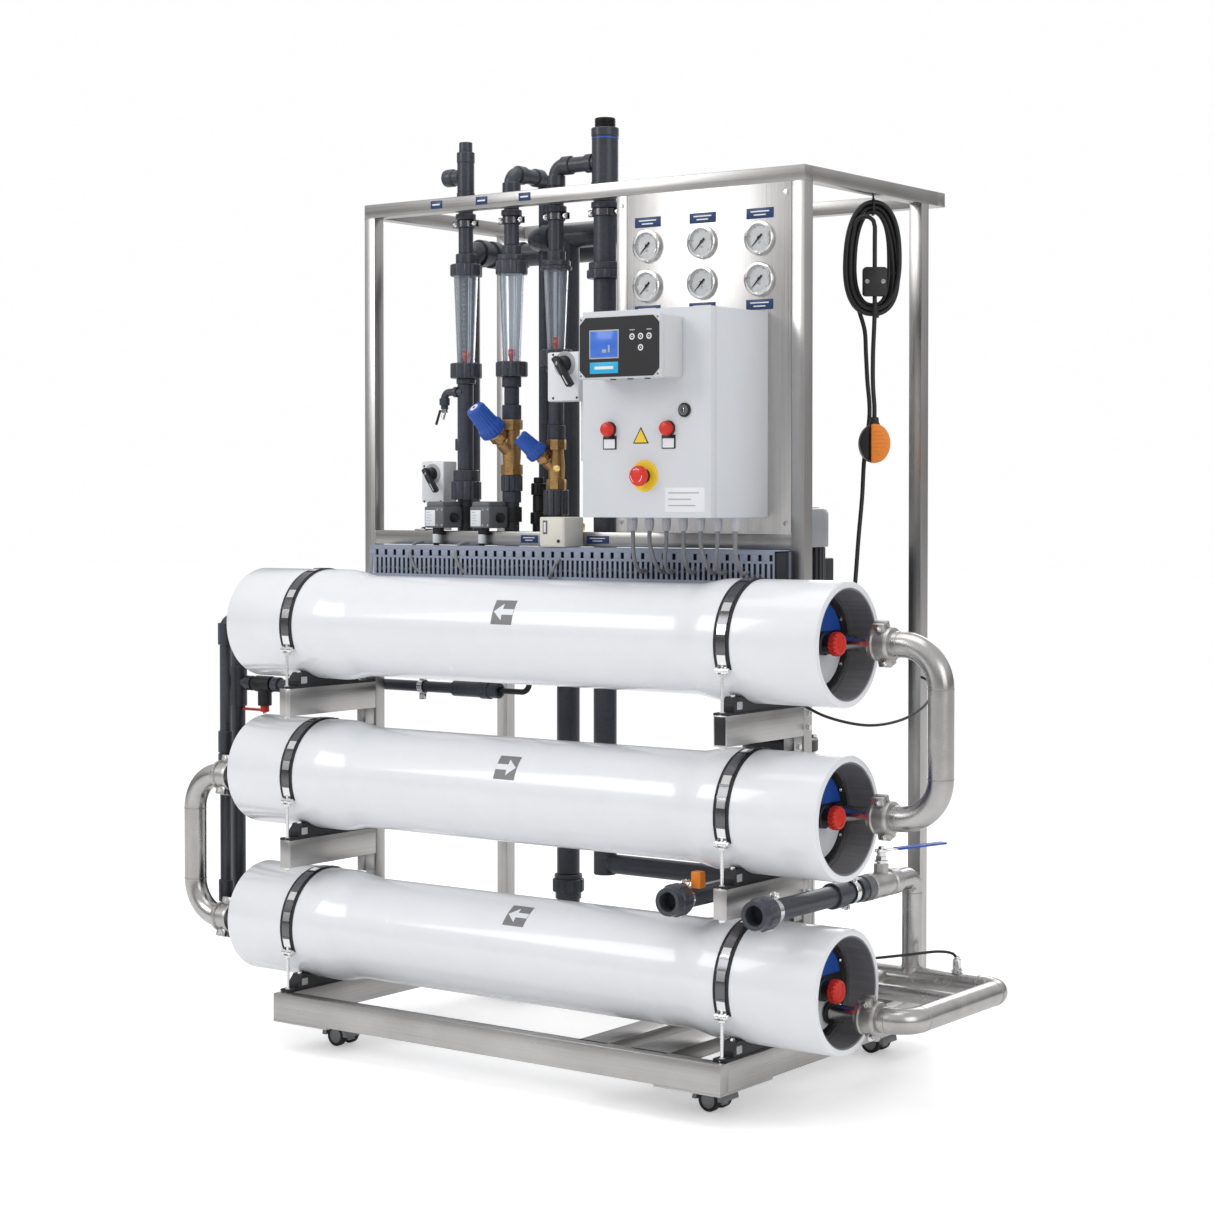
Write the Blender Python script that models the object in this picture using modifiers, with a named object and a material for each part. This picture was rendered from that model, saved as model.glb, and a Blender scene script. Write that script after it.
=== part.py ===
"""Reverse osmosis unit: three membrane vessels, a pump and a control cabinet on a steel frame.

Metres, +Z up, the front faces -Y. Everything is drawn in the unit's own drawing frame: X = 0 is the
right rim of the vessels, Y = 0 is the plane through their axes and Z = 0 is the floor. One root empty
then moves the drawing frame, so that the middle of the unit's box stands over the world's origin.
"""

import math

import bmesh
import bpy
from mathutils import Matrix, Vector

OBJECT_NAME = "reverse_osmosis_unit"
GAP = 0.0003  # between pieces that touch
TWIST = 0.13  # turns round bars about their own axis, so that joined ones share no corner
ORIGIN_SHIFT = Vector((0.7335, -0.2665, 0.0))

# Membrane vessels: eight-inch pressure tubes, one element long.
VESSEL_LENGTH = 1.4736
VESSEL_HEIGHTS = {"top": 0.891, "middle": 0.571, "bottom": 0.251}
VESSEL_BORE = 0.1015
VESSEL_SIDES = 24
BARREL_RADIUS = 0.106
BELL_RADIUS = 0.117
BELL_LENGTH = 0.245
TAPER_LENGTH = 0.085
RIM_CHAMFER = 0.004
HEAD_RECESS = 0.060
HEAD_THICKNESS = 0.035
ELEMENT_RADIUS = 0.1003
PORT_RADIUS = 0.0165
PORT_OFFSET = 0.060

# Frame: square tube, with a deeper tube for the base and the arms.
TUBE = 0.030
DEEP_TUBE = 0.058
FRAME_LEFT = -1.3135
FRAME_RIGHT = -0.187
FRAME_FRONT = 0.151
POST_BACK = 0.613
FRAME_BACK = 0.713
FRAME_TOP = 1.800
MID_RAIL_TOP = 1.090
BASE_FRONT = -0.1414
BASE_BOTTOM = 0.062
BASE_TOP = 0.118
ARM_FRONT = -0.120
ARM_BELOW_AXIS = 0.132
SADDLE_HALF_WIDTH = 0.095
SADDLE_RISE = 0.032

# Casters: twin wheels under corner plates.
CASTER_X = (-1.2245, -0.277)
CASTER_Y = (-0.021, 0.588)
CASTER_PLATE = 0.004
WHEEL_RADIUS = 0.022
WHEEL_HALF_WIDTH = 0.027
CASTER_TRAIL = 0.014

# Pipes and fittings, as outer radii.
STEEL_PIPE = 0.02415
PVC_SMALL = 0.0125
PVC_PIPE = 0.016
PVC_LARGE = 0.025
COUPLING_RADIUS = 0.032
COUPLING_LENGTH = 0.043
RETURN_BEND = 0.078

# Flow meters: three columns behind the top front rail.
COLUMN_Y = 0.210
COLUMN_X = (-1.075, -0.950, -0.831)
RISER_X = -0.707
RISER_Y = 0.2135
METER_BOTTOM = (1.4503, 1.4493, 1.4703)
METER_TOP = (1.6357, 1.6327, 1.6347)
METER_NUT = 0.034
REAR_Y = 0.300
HEADER_Z = 0.930

# Gauge panel, cabinet and what is on its door.
PANEL_LEFT = -0.632
PANEL_RIGHT = -0.2173
GAUGE_X = (-0.556, -0.4235, -0.2894)
GAUGE_Z = (1.665, 1.585)
CABINET_LEFT = -0.569
CABINET_RIGHT = -0.270
CABINET_BOTTOM = 1.122
CABINET_TOP = 1.520
CABINET_BACK = FRAME_FRONT - GAP
DOOR_FRONT = -0.050
DOOR_BACK = -0.030
SHEET = 0.002
STOP_BUTTON = Vector((-0.4207, DOOR_FRONT, 1.2016))
DOOR_LOCK = Vector((-0.328, DOOR_FRONT, 1.3256))

# Float switch on its free cable, hung up under the right side rail.
CABLE_RADIUS = 0.0045
HANK_CENTRE = Vector((-0.215, 0.460, 1.632))
HANK_WIDTH_DIRECTION = Vector((math.cos(math.radians(36)), math.sin(math.radians(36)), 0.0))
HANK_FRONT = Vector((math.sin(math.radians(36)), -math.cos(math.radians(36)), 0.0))
HANK_WIDTH = 0.129
HANK_HEIGHT = 0.268
HANK_BUNDLE = 0.034
HANK_DEPTH = 0.020
DROP_OFFSET = 0.032
FLOAT_TOP = 1.323
FLOAT_BOTTOM = 1.230
CABLE_GLAND = Vector((-0.202, FRAME_FRONT + TUBE, 0.930))

X_AXIS = Vector((1, 0, 0))
Y_AXIS = Vector((0, 1, 0))
Z_AXIS = Vector((0, 0, 1))
FRONT = Vector((0, -1, 0))

for old in list(bpy.data.objects):
    bpy.data.objects.remove(old)

parts = bpy.data.collections.new(OBJECT_NAME)
helpers = bpy.data.collections.new("helpers")
bpy.context.scene.collection.children.link(parts)
bpy.context.scene.collection.children.link(helpers)
helpers.hide_render = True

root = bpy.data.objects.new("unit_root", None)
root.location = ORIGIN_SHIFT
parts.objects.link(root)


def material(name, colour, roughness, metallic=0.0, alpha=1.0):
    """A Principled material of one colour."""
    made = bpy.data.materials.new(name)
    made.use_nodes = True
    shader = made.node_tree.nodes["Principled BSDF"]
    shader.inputs["Base Color"].default_value = (*colour, 1.0)
    shader.inputs["Roughness"].default_value = roughness
    shader.inputs["Metallic"].default_value = metallic
    shader.inputs["Alpha"].default_value = alpha
    made.diffuse_color = (*colour, alpha)
    return made


STEEL = material("brushed_steel", (0.60, 0.59, 0.57), 0.35, 1.0)
PIPE_STEEL = material("pickled_steel", (0.50, 0.48, 0.45), 0.40, 1.0)
WHITE_GLOSS = material("white_gloss", (0.86, 0.87, 0.89), 0.18)
PVC_GREY = material("pvc_grey", (0.055, 0.062, 0.075), 0.35)
CABINET_GREY = material("cabinet_grey", (0.72, 0.74, 0.76), 0.45)
DUCT_GREY = material("duct_grey", (0.42, 0.46, 0.55), 0.50)
BLACK_RUBBER = material("black_rubber", (0.015, 0.015, 0.016), 0.70)
BLACK_PLASTIC = material("black_plastic", (0.02, 0.02, 0.022), 0.40)
RED_PLASTIC = material("red_plastic", (0.75, 0.05, 0.03), 0.35)
BLUE_PLASTIC = material("blue_plastic", (0.02, 0.09, 0.42), 0.35)
ORANGE_PLASTIC = material("orange_plastic", (0.85, 0.28, 0.03), 0.45)
CLEAR_PLASTIC = material("clear_plastic", (0.80, 0.86, 0.92), 0.08, alpha=0.35)
MEMBRANE_WHITE = material("membrane_white", (0.75, 0.76, 0.74), 0.50)


def helper(name, mesh):
    shape = bpy.data.objects.new(name, mesh)
    shape.hide_render = True
    shape.display_type = "WIRE"
    helpers.objects.link(shape)
    return shape


def from_bmesh(name, bm):
    mesh = bpy.data.meshes.new(name)
    bm.to_mesh(mesh)
    bm.free()
    return helper(name, mesh)


def as_mesh(shape, weld=0.00001):
    """Turn a curve, or a shape with modifiers, into a plain welded mesh where it stands."""
    bpy.context.view_layer.update()
    graph = bpy.context.evaluated_depsgraph_get()
    mesh = bpy.data.meshes.new_from_object(shape.evaluated_get(graph))
    mesh.transform(shape.matrix_world)
    bm = bmesh.new()
    bm.from_mesh(mesh)
    bmesh.ops.remove_doubles(bm, verts=bm.verts, dist=weld)
    bmesh.ops.recalc_face_normals(bm, faces=bm.faces)
    bm.to_mesh(mesh)
    bm.free()
    bpy.data.objects.remove(shape)
    return helper(mesh.name, mesh)


def facing(centre, direction):
    """The matrix that puts a shape drawn along +Z at centre, looking along direction."""
    turn = Vector(direction).to_track_quat("Z", "Y").to_matrix().to_4x4()
    return Matrix.Translation(centre) @ turn


def box(low, high):
    low = Vector(low)
    high = Vector(high)
    bm = bmesh.new()
    size = high - low
    place = Matrix.Translation((low + high) / 2) @ Matrix.Diagonal((*size, 1.0))
    bmesh.ops.create_cube(bm, size=1.0, matrix=place)
    return from_bmesh("box", bm)


def rod(start, end, radius, sides=12, end_radius=None):
    """A cylinder, or a cone, from one point to another."""
    start = Vector(start)
    end = Vector(end)
    bm = bmesh.new()
    bmesh.ops.create_cone(
        bm,
        cap_ends=True,
        segments=sides,
        radius1=radius,
        radius2=radius if end_radius is None else end_radius,
        depth=(end - start).length,
        matrix=facing((start + end) / 2, end - start) @ Matrix.Rotation(TWIST, 4, "Z"),
    )
    return from_bmesh("rod", bm)


def turned(profile, centre, direction, sides=12, closed=False):
    """A turned shape: (radius, height) pairs that run down the outer side, about direction."""
    mesh = bpy.data.meshes.new("turned")
    points = [(radius, 0.0, height) for radius, height in profile]
    edges = [(i, i + 1) for i in range(len(points) - 1)]
    if closed:
        edges.append((len(points) - 1, 0))
    mesh.from_pydata(points, edges, [])
    shape = helper("turned", mesh)
    shape.matrix_world = facing(centre, direction)
    screw = shape.modifiers.new("turn", "SCREW")
    screw.axis = "Z"
    screw.steps = sides
    screw.render_steps = sides
    screw.use_merge_vertices = True
    screw.merge_threshold = 0.00001
    return as_mesh(shape)


def stack(x, y, sections, sides=12):
    """A vertical turned column from (bottom, top, radius) sections that meet end to end."""
    profile = [(0.0, sections[-1][1])]
    for bottom, top, radius in reversed(sections):
        profile += [(radius, top), (radius, bottom)]
    profile.append((0.0, sections[0][0]))
    return turned(profile, (x, y, 0.0), Z_AXIS, sides)


def rounded_path(corners, bend, steps=3):
    """The corners of a path with each inner one replaced by an arc of radius bend."""
    corners = [Vector(c) for c in corners]
    path = [corners[0]]
    for before, corner, after in zip(corners, corners[1:], corners[2:]):
        into = (before - corner).normalized()
        out = (after - corner).normalized()
        half = into.angle(out) / 2
        reach = bend / math.tan(half)
        centre = corner + (into + out).normalized() * (bend / math.sin(half))
        first = (corner + into * reach - centre).normalized()
        last = (corner + out * reach - centre).normalized()
        for step in range(steps + 1):
            path.append(centre + first.slerp(last, step / steps) * bend)
    path.append(corners[-1])
    return path


def tube(path, radius, resolution=2):
    """A round bar along a path: a poly curve with a bevel and filled caps."""
    curve = bpy.data.curves.new("tube", "CURVE")
    curve.dimensions = "3D"
    curve.bevel_depth = radius
    curve.bevel_resolution = resolution
    curve.use_fill_caps = True
    spline = curve.splines.new("POLY")
    spline.points.add(len(path) - 1)
    for point, place in zip(spline.points, path):
        point.co = (*place, 1.0)
        point.tilt = TWIST / 2
    shape = bpy.data.objects.new("tube", curve)
    helpers.objects.link(shape)
    return as_mesh(shape)


def pipe(corners, radius, bend=0.0, resolution=2):
    path = rounded_path(corners, bend) if bend else [Vector(c) for c in corners]
    return tube(path, radius, resolution)


def plate(outline, holes, thickness, place):
    """A flat outline with holes, extruded both ways from its plane by half the thickness."""
    curve = bpy.data.curves.new("plate", "CURVE")
    curve.dimensions = "2D"
    curve.fill_mode = "BOTH"
    curve.extrude = thickness / 2
    for loop in [outline, *holes]:
        spline = curve.splines.new("POLY")
        spline.points.add(len(loop) - 1)
        for point, (across, up) in zip(spline.points, loop):
            point.co = (across, up, 0.0, 1.0)
        spline.use_cyclic_u = True
    shape = bpy.data.objects.new("plate", curve)
    shape.matrix_world = place
    helpers.objects.link(shape)
    return as_mesh(shape)


def carved(shape, cut):
    """The shape with the cut taken away, as a plain mesh."""
    boolean = shape.modifiers.new("carve", "BOOLEAN")
    boolean.operation = "DIFFERENCE"
    boolean.solver = "EXACT"
    boolean.object = cut
    result = as_mesh(shape, weld=0.0000005)
    bpy.data.objects.remove(cut)
    return result


def part(name, finish, pieces, cuts=(), origin=(0, 0, 0)):
    """Join the pieces into one body, take the cuts away and hang the result on the root."""
    base = pieces[0]
    for operation, others in (("UNION", pieces[1:]), ("DIFFERENCE", cuts)):
        for other in others:
            boolean = base.modifiers.new(operation.lower(), "BOOLEAN")
            boolean.operation = operation
            boolean.solver = "EXACT"
            boolean.object = other
    solid = as_mesh(base, weld=0.0000005)
    for used in [*pieces[1:], *cuts]:
        bpy.data.objects.remove(used)
    mesh = solid.data
    bpy.data.objects.remove(solid)
    mesh.name = name
    mesh.transform(Matrix.Translation(-Vector(origin)))
    mesh.shade_smooth()
    mesh.set_sharp_from_angle(angle=math.radians(35))
    mesh.materials.clear()
    mesh.materials.append(finish)
    made = bpy.data.objects.new(name, mesh)
    made.location = origin
    made.parent = root
    parts.objects.link(made)
    return made


def saddle(x, axis_z, arm_top):
    """A moulded cradle on an arm, before the vessel's seat is cut out of it."""
    top = axis_z - ARM_BELOW_AXIS + SADDLE_RISE
    return box((x - 0.015, -SADDLE_HALF_WIDTH, arm_top - 0.001), (x + 0.015, SADDLE_HALF_WIDTH, top))


def saddle_seat(axis_z):
    """The bar that cuts the seats of one vessel's saddles."""
    start = (FRAME_LEFT - 0.05, 0.0, axis_z)
    end = (FRAME_RIGHT + 0.05, 0.0, axis_z)
    return rod(start, end, BELL_RADIUS + 2 * GAP, 48)


def side_rails():
    """The X spans of everything that lies in the left and in the right side of the frame."""
    return ((FRAME_LEFT, FRAME_LEFT + TUBE), (FRAME_RIGHT - TUBE, FRAME_RIGHT))


def base_frame():
    pieces = [
        box((FRAME_LEFT, BASE_FRONT, BASE_BOTTOM), (FRAME_RIGHT, BASE_FRONT + TUBE, BASE_TOP)),
        box((FRAME_LEFT, FRAME_BACK - TUBE, BASE_BOTTOM), (FRAME_RIGHT, FRAME_BACK, BASE_TOP)),
    ]
    for left, right in side_rails():
        pieces.append(box((left, BASE_FRONT + 0.01, BASE_BOTTOM), (right, FRAME_BACK - 0.01, BASE_TOP)))
        pieces.append(saddle((left + right) / 2, VESSEL_HEIGHTS["bottom"], BASE_TOP))
    for left, right in ((-0.530, -0.461), (-0.406, -0.321)):
        pieces.append(box((left, BASE_FRONT + 0.01, BASE_TOP - TUBE), (right, FRAME_BACK - 0.01, BASE_TOP)))
    plate_low = BASE_BOTTOM - CASTER_PLATE
    for x_span in ((FRAME_LEFT, FRAME_LEFT + 0.150), (FRAME_RIGHT - 0.150, FRAME_RIGHT)):
        for y_span in ((BASE_FRONT, 0.040), (0.528, FRAME_BACK)):
            low = (x_span[0], y_span[0], plate_low)
            pieces.append(box(low, (x_span[1], y_span[1], BASE_BOTTOM + 0.001)))
    part("base_frame", STEEL, pieces, [saddle_seat(VESSEL_HEIGHTS["bottom"])])


def main_frame():
    back = FRAME_FRONT + TUBE
    top_low = FRAME_TOP - TUBE
    mid_low = MID_RAIL_TOP - TUBE
    pieces = [
        box((FRAME_LEFT, FRAME_FRONT, top_low), (FRAME_RIGHT, back, FRAME_TOP)),
        box((FRAME_LEFT, FRAME_BACK - TUBE, top_low), (FRAME_RIGHT, FRAME_BACK, FRAME_TOP)),
        box((FRAME_LEFT + 0.01, FRAME_FRONT, mid_low), (FRAME_RIGHT - 0.01, back, MID_RAIL_TOP)),
    ]
    for left, right in side_rails():
        pieces.append(box((left, FRAME_FRONT + 0.01, top_low), (right, FRAME_BACK - 0.01, FRAME_TOP)))
        for low in (FRAME_FRONT, POST_BACK):
            pieces.append(box((left, low, BASE_TOP + GAP), (right, low + TUBE, FRAME_TOP - 0.01)))
        for vessel in ("top", "middle"):
            axis_z = VESSEL_HEIGHTS[vessel]
            arm_top = axis_z - ARM_BELOW_AXIS
            arm_low = arm_top - DEEP_TUBE
            pieces.append(box((left, ARM_FRONT, arm_low), (right, back - 0.01, arm_top)))
            bracket = (left + 0.003, 0.120, arm_low - 0.035)
            pieces.append(box(bracket, (right - 0.003, back - 0.01, arm_low + 0.01)))
            pieces.append(saddle((left + right) / 2, axis_z, arm_top))
    pieces.append(cable_gland())
    seats = [saddle_seat(VESSEL_HEIGHTS[vessel]) for vessel in ("top", "middle")]
    part("main_frame", STEEL, pieces, seats)


def vessel(name, axis_z):
    """A filament-wound tube, open at both ends, with a thick bell at each end."""
    end = -VESSEL_LENGTH
    steps = 3
    right_side = [(BELL_RADIUS - RIM_CHAMFER, 0.0), (BELL_RADIUS, -RIM_CHAMFER)]
    for step in range(steps + 1):
        share = step / steps
        blend = (1 + math.cos(math.pi * share)) / 2
        radius = BARREL_RADIUS + (BELL_RADIUS - BARREL_RADIUS) * blend
        right_side.append((radius, -BELL_LENGTH - TAPER_LENGTH * share))
    left_side = [(radius, end - height) for radius, height in reversed(right_side)]
    profile = [*right_side, *left_side, (VESSEL_BORE, end), (VESSEL_BORE, 0.0)]
    wall = turned(profile, (0.0, 0.0, axis_z), X_AXIS, VESSEL_SIDES, closed=True)
    part(f"vessel_{name}", WHITE_GLOSS, [wall])


def end_head(name, axis_z, port, stub_end):
    """The right end plug: a disc, the capped centre port and the stub of the side port."""
    profile = [
        (0.0, -0.0155),
        (0.023, -0.0155),
        (0.023, -HEAD_RECESS),
        (VESSEL_BORE - 2 * GAP, -HEAD_RECESS),
        (VESSEL_BORE - 2 * GAP, -HEAD_RECESS - HEAD_THICKNESS),
        (0.0, -HEAD_RECESS - HEAD_THICKNESS),
    ]
    disc = turned(profile, (0.0, 0.0, axis_z), X_AXIS, VESSEL_SIDES)
    across, up = port
    stub = rod((-HEAD_RECESS - 0.01, across, axis_z + up), (stub_end, across, axis_z + up), PORT_RADIUS)
    part(f"end_head_{name}", BLACK_PLASTIC, [disc, stub])


def membrane_element(name, axis_z, ports):
    """The spiral-wound element with the left end plug and the stubs of its ports."""
    right = -HEAD_RECESS - HEAD_THICKNESS - GAP
    left = -VESSEL_LENGTH + HEAD_RECESS
    profile = [
        (0.0, right),
        (ELEMENT_RADIUS, right),
        (ELEMENT_RADIUS, left + 0.05),
        (0.014, left + 0.05),
        (0.014, left + 0.035),
        (VESSEL_BORE - 2 * GAP, left + 0.035),
        (VESSEL_BORE - 2 * GAP, left),
        (0.0, left),
    ]
    pieces = [turned(profile, (0.0, 0.0, axis_z), X_AXIS, VESSEL_SIDES)]
    stub_end = -1.5290
    for across, up, radius in ports:
        start = (left + 0.01, across, axis_z + up)
        pieces.append(rod(start, (stub_end, across, axis_z + up), radius, 12))
    part(f"membrane_element_{name}", MEMBRANE_WHITE, pieces)


def coupling(centre, direction, bore):
    """A grooved-pipe coupling with a blind socket that opens along direction."""
    sides = 14
    half = COUPLING_LENGTH / 2
    bore = (bore + GAP) / math.cos(math.pi / sides)
    profile = [
        (0.0, 0.0),
        (bore, 0.0),
        (bore, half),
        (COUPLING_RADIUS, half),
        (COUPLING_RADIUS, -half),
        (0.0, -half),
    ]
    return turned(profile, centre, direction, sides)


def return_bend_right():
    """The stainless U bend that joins the right ports of the top and the middle vessel."""
    top = VESSEL_HEIGHTS["top"]
    middle = VESSEL_HEIGHTS["middle"]
    leg = 0.160
    corners = [
        (0.045, PORT_OFFSET, top),
        (leg, PORT_OFFSET, top),
        (leg, PORT_OFFSET, middle),
        (0.045, PORT_OFFSET, middle),
    ]
    pieces = [pipe(corners, STEEL_PIPE, RETURN_BEND)]
    for height in (top, middle):
        pieces.append(coupling((0.040, PORT_OFFSET, height), -X_AXIS, PORT_RADIUS))
    part("return_bend_right", PIPE_STEEL, pieces)


LEFT_PORTS = {"middle": (-0.060, -0.015), "bottom": (-0.060, -0.0055)}


def return_bend_left():
    """The stainless U bend that joins the left ports of the middle and the bottom vessel."""
    heights = [VESSEL_HEIGHTS[name] + LEFT_PORTS[name][1] for name in ("middle", "bottom")]
    start = -1.535
    leg = -1.627
    across = -PORT_OFFSET
    corners = [
        (start, across, heights[0]),
        (leg, across, heights[0]),
        (leg, across, heights[1]),
        (start, across, heights[1]),
    ]
    pieces = [pipe(corners, STEEL_PIPE, RETURN_BEND)]
    for height in heights:
        pieces.append(coupling((-1.530, across, height), X_AXIS, PORT_RADIUS))
    part("return_bend_left", PIPE_STEEL, pieces)


def permeate_header():
    """The PVC riser on the left that collects from the centre port of each vessel."""
    x = -1.592
    branch_start = -1.5293
    low = VESSEL_HEIGHTS["bottom"]
    top = VESSEL_HEIGHTS["top"]
    riser = [(branch_start, 0, top), (x, 0, top), (x, 0, low), (branch_start, 0, low)]
    pieces = [pipe(riser, PVC_SMALL, 0.020)]
    middle = VESSEL_HEIGHTS["middle"]
    pieces.append(rod((branch_start, 0, middle), (x, 0, middle), PVC_SMALL - 0.0005, 12))
    for z in (0.860, middle + 0.050, middle, low + 0.040):
        pieces.append(rod((x, 0, z - 0.024), (x, 0, z + 0.024), PVC_SMALL + 0.004, 12))
    part("permeate_header", PVC_GREY, pieces)


def outlet_nut(x, front, z):
    """A union nut with an open socket for the customer's pipe."""
    profile = [
        (0.0, front + 0.030),
        (0.0185, front + 0.030),
        (0.0185, front),
        (0.0315, front),
        (0.0315, front + 0.046),
        (0.0, front + 0.046),
    ]
    flipped = [(radius, -height) for radius, height in profile]
    return turned(flipped, (x, 0.0, z), FRONT, 16)


def feed_manifold():
    """Stainless feed pipes from the pump to the bottom vessel, with the flushing outlet."""
    port_y = 0.033
    port_z = 0.203
    run_x = 0.109
    run_y = 0.405
    run_z = 0.203
    pump_end = -0.3097
    outlet_x = -0.090
    outlet_z = 0.408
    corners = [
        (0.035, port_y, port_z),
        (run_x, port_y, run_z),
        (run_x, run_y, run_z),
        (pump_end + 0.002, run_y, run_z),
    ]
    bypass = [(run_x, 0.260, run_z), (-0.150, 0.260, run_z), (-0.150, run_y, run_z)]
    outlet = [(outlet_x, run_y, run_z), (outlet_x, run_y, outlet_z), (outlet_x, 0.330, outlet_z)]
    pieces = [
        pipe(corners, STEEL_PIPE, 0.040),
        coupling((0.030, port_y, port_z), -X_AXIS, PORT_RADIUS),
        pipe(bypass, 0.015, 0.025),
        pipe(outlet, 0.021, 0.030),
        rod((outlet_x, 0.335, outlet_z), (outlet_x, 0.225, outlet_z), 0.026),
        rod((outlet_x, 0.280, outlet_z), (outlet_x, 0.280, outlet_z + 0.062), 0.009, 12),
        rod((outlet_x, 0.230, outlet_z), (outlet_x, -0.140, outlet_z), 0.020),
        rod((outlet_x, 0.130, outlet_z), (outlet_x, 0.090, outlet_z), 0.0255),
        outlet_nut(outlet_x, -0.1800, outlet_z),
        rod((0.010, run_y, run_z), (0.010, run_y, run_z + 0.050), 0.009, 12),
        rod((pump_end, run_y, run_z), (pump_end + 0.014, run_y, run_z), 0.045, 14),
    ]
    part("feed_manifold", PIPE_STEEL, pieces)


def pump():
    """A vertical multistage pump: foot, port casing, stage sleeve, lantern and motor."""
    x = -0.400
    y = 0.405
    bottom = BASE_TOP + GAP
    sections = [
        (bottom + 0.010, 0.265, 0.068),
        (0.265, 0.640, 0.060),
        (0.640, 0.665, 0.078),
        (0.665, 0.745, 0.056),
        (0.745, 0.765, 0.094),
        (0.765, 1.060, 0.092),
        (1.060, 1.140, 0.098),
    ]
    pieces = [
        stack(x, y, sections, 18),
        box((x - 0.125, y - 0.085, bottom), (x + 0.075, y + 0.085, bottom + 0.016)),
        rod((x - 0.110, y, 0.203), (x + 0.0897, y, 0.203), 0.026),
        rod((x + 0.0757, y, 0.203), (x + 0.0897, y, 0.203), 0.045, 14),
        rod((x - 0.110, y, 0.203), (x - 0.096, y, 0.203), 0.045, 14),
        box((x - 0.045, y + 0.070, 0.900), (x + 0.045, y + 0.142, 1.035)),
    ]
    part("pump", BLACK_PLASTIC, pieces)


def column_upper_1():
    x = COLUMN_X[0]
    sections = [
        (METER_TOP[0] + GAP, 1.672, METER_NUT),
        (1.672, 1.757, PVC_PIPE),
        (1.757, 1.7695, 0.022),
        (1.7695, 1.800, PVC_PIPE),
        (1.800, 1.9015, 0.0195),
        (1.9015, 1.923, 0.0145),
    ]
    branch = rod((x, COLUMN_Y, 1.850), (x - 0.056, COLUMN_Y, 1.850), 0.019)
    part("column_upper_1", PVC_GREY, [stack(x, COLUMN_Y, sections), branch])


def sensor_box(x):
    """A flow transmitter in front of its column, and the saddle that carries it."""
    left = x - 0.048
    return [
        box((left, 0.125, MID_RAIL_TOP + 0.002), (left + 0.054, 0.190, MID_RAIL_TOP + 0.063)),
        rod((x - 0.016, 0.180, 1.125), (x - 0.004, COLUMN_Y, 1.125), 0.014, 12),
    ]


def column_foot(x, radius, end_y, z=HEADER_Z):
    """The pipe below a column's valve, bent back behind the vessels to the rear pipes."""
    return pipe([(x, COLUMN_Y, 1.16), (x, COLUMN_Y, z), (x, end_y, z)], radius, 0.030)


def column_lower_1():
    x = COLUMN_X[0]
    sections = [
        (1.156, 1.220, 0.0325),
        (1.220, 1.417, PVC_PIPE),
        (1.417, METER_BOTTOM[0] - GAP, METER_NUT),
    ]
    tap_x = x - 0.052
    tap_y = COLUMN_Y - 0.010
    tap = [(x, tap_y, 1.388), (tap_x, tap_y, 1.388), (tap_x, tap_y, 1.336)]
    pieces = [stack(x, COLUMN_Y, sections), pipe(tap, 0.008, 0.014)]
    pieces.append(column_foot(x, PVC_PIPE, REAR_Y - 0.024 - GAP))
    part("column_lower_1", PVC_GREY, pieces + sensor_box(x))


VALVE_DIRECTIONS = (
    Vector((-0.22, -0.67, 0.707)).normalized(),
    Vector((-0.45, -0.60, 0.66)).normalized(),
)
VALVE_CENTRES = (Vector((COLUMN_X[1], COLUMN_Y, 1.255)), Vector((COLUMN_X[2], COLUMN_Y, 1.218)))
VALVE_SCALES = (1.0, 0.80)


def bonnet(index):
    """The inclined neck of a balancing valve, up to just under its handwheel."""
    centre = VALVE_CENTRES[index]
    direction = VALVE_DIRECTIONS[index]
    scale = VALVE_SCALES[index]
    return rod(centre, centre + direction * 0.0605 * scale, 0.0165 * scale, 12)


def column_lower_2():
    x = COLUMN_X[1]
    sections = [
        (1.150, 1.209, 0.0230),
        (1.209, 1.232, 0.0235),
        (1.232, 1.305, 0.0175),
        (1.305, 1.326, 0.0195),
        (1.326, 1.3575, 0.0205),
        (1.3575, 1.395, PVC_PIPE),
        (1.395, 1.417, 0.0205),
        (1.417, METER_BOTTOM[1] - GAP, METER_NUT),
    ]
    pieces = [stack(x, COLUMN_Y, sections), bonnet(0)]
    pieces.append(column_foot(x, PVC_PIPE, REAR_Y - 0.024 - GAP))
    part("column_lower_2", PVC_GREY, pieces + sensor_box(x))


def column_lower_3():
    x = COLUMN_X[2]
    sections = [
        (1.124, 1.177, 0.0270),
        (1.177, 1.200, 0.0215),
        (1.200, 1.260, 0.0155),
        (1.260, 1.282, 0.0200),
        (1.282, 1.312, 0.0190),
        (1.312, 1.436, PVC_PIPE),
        (1.436, METER_BOTTOM[2] - GAP, METER_NUT),
    ]
    switch = box((x + 0.0515, 0.085, 1.060), (x + 0.1155, FRAME_FRONT - GAP, 1.121))
    neck = box((x, 0.135, 1.0905), (x + 0.070, COLUMN_Y + 0.008, 1.108))
    pieces = [stack(x, COLUMN_Y, sections), bonnet(1), switch, neck]
    pieces.append(column_foot(x, PVC_PIPE, 0.262, 0.860))
    part("column_lower_3", PVC_GREY, pieces)


def meter_tube(index):
    """The clear tapered tube of a flow meter, wider at the top and open at both ends."""
    bottom = METER_BOTTOM[index]
    top = METER_TOP[index]
    wall = 0.0025
    profile = [(0.0260, top), (0.0190, bottom), (0.0190 - wall, bottom), (0.0260 - wall, top)]
    shape = turned(profile, (COLUMN_X[index], COLUMN_Y, 0.0), Z_AXIS, 14, closed=True)
    part(f"meter_tube_{index + 1}", CLEAR_PLASTIC, [shape])


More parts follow.
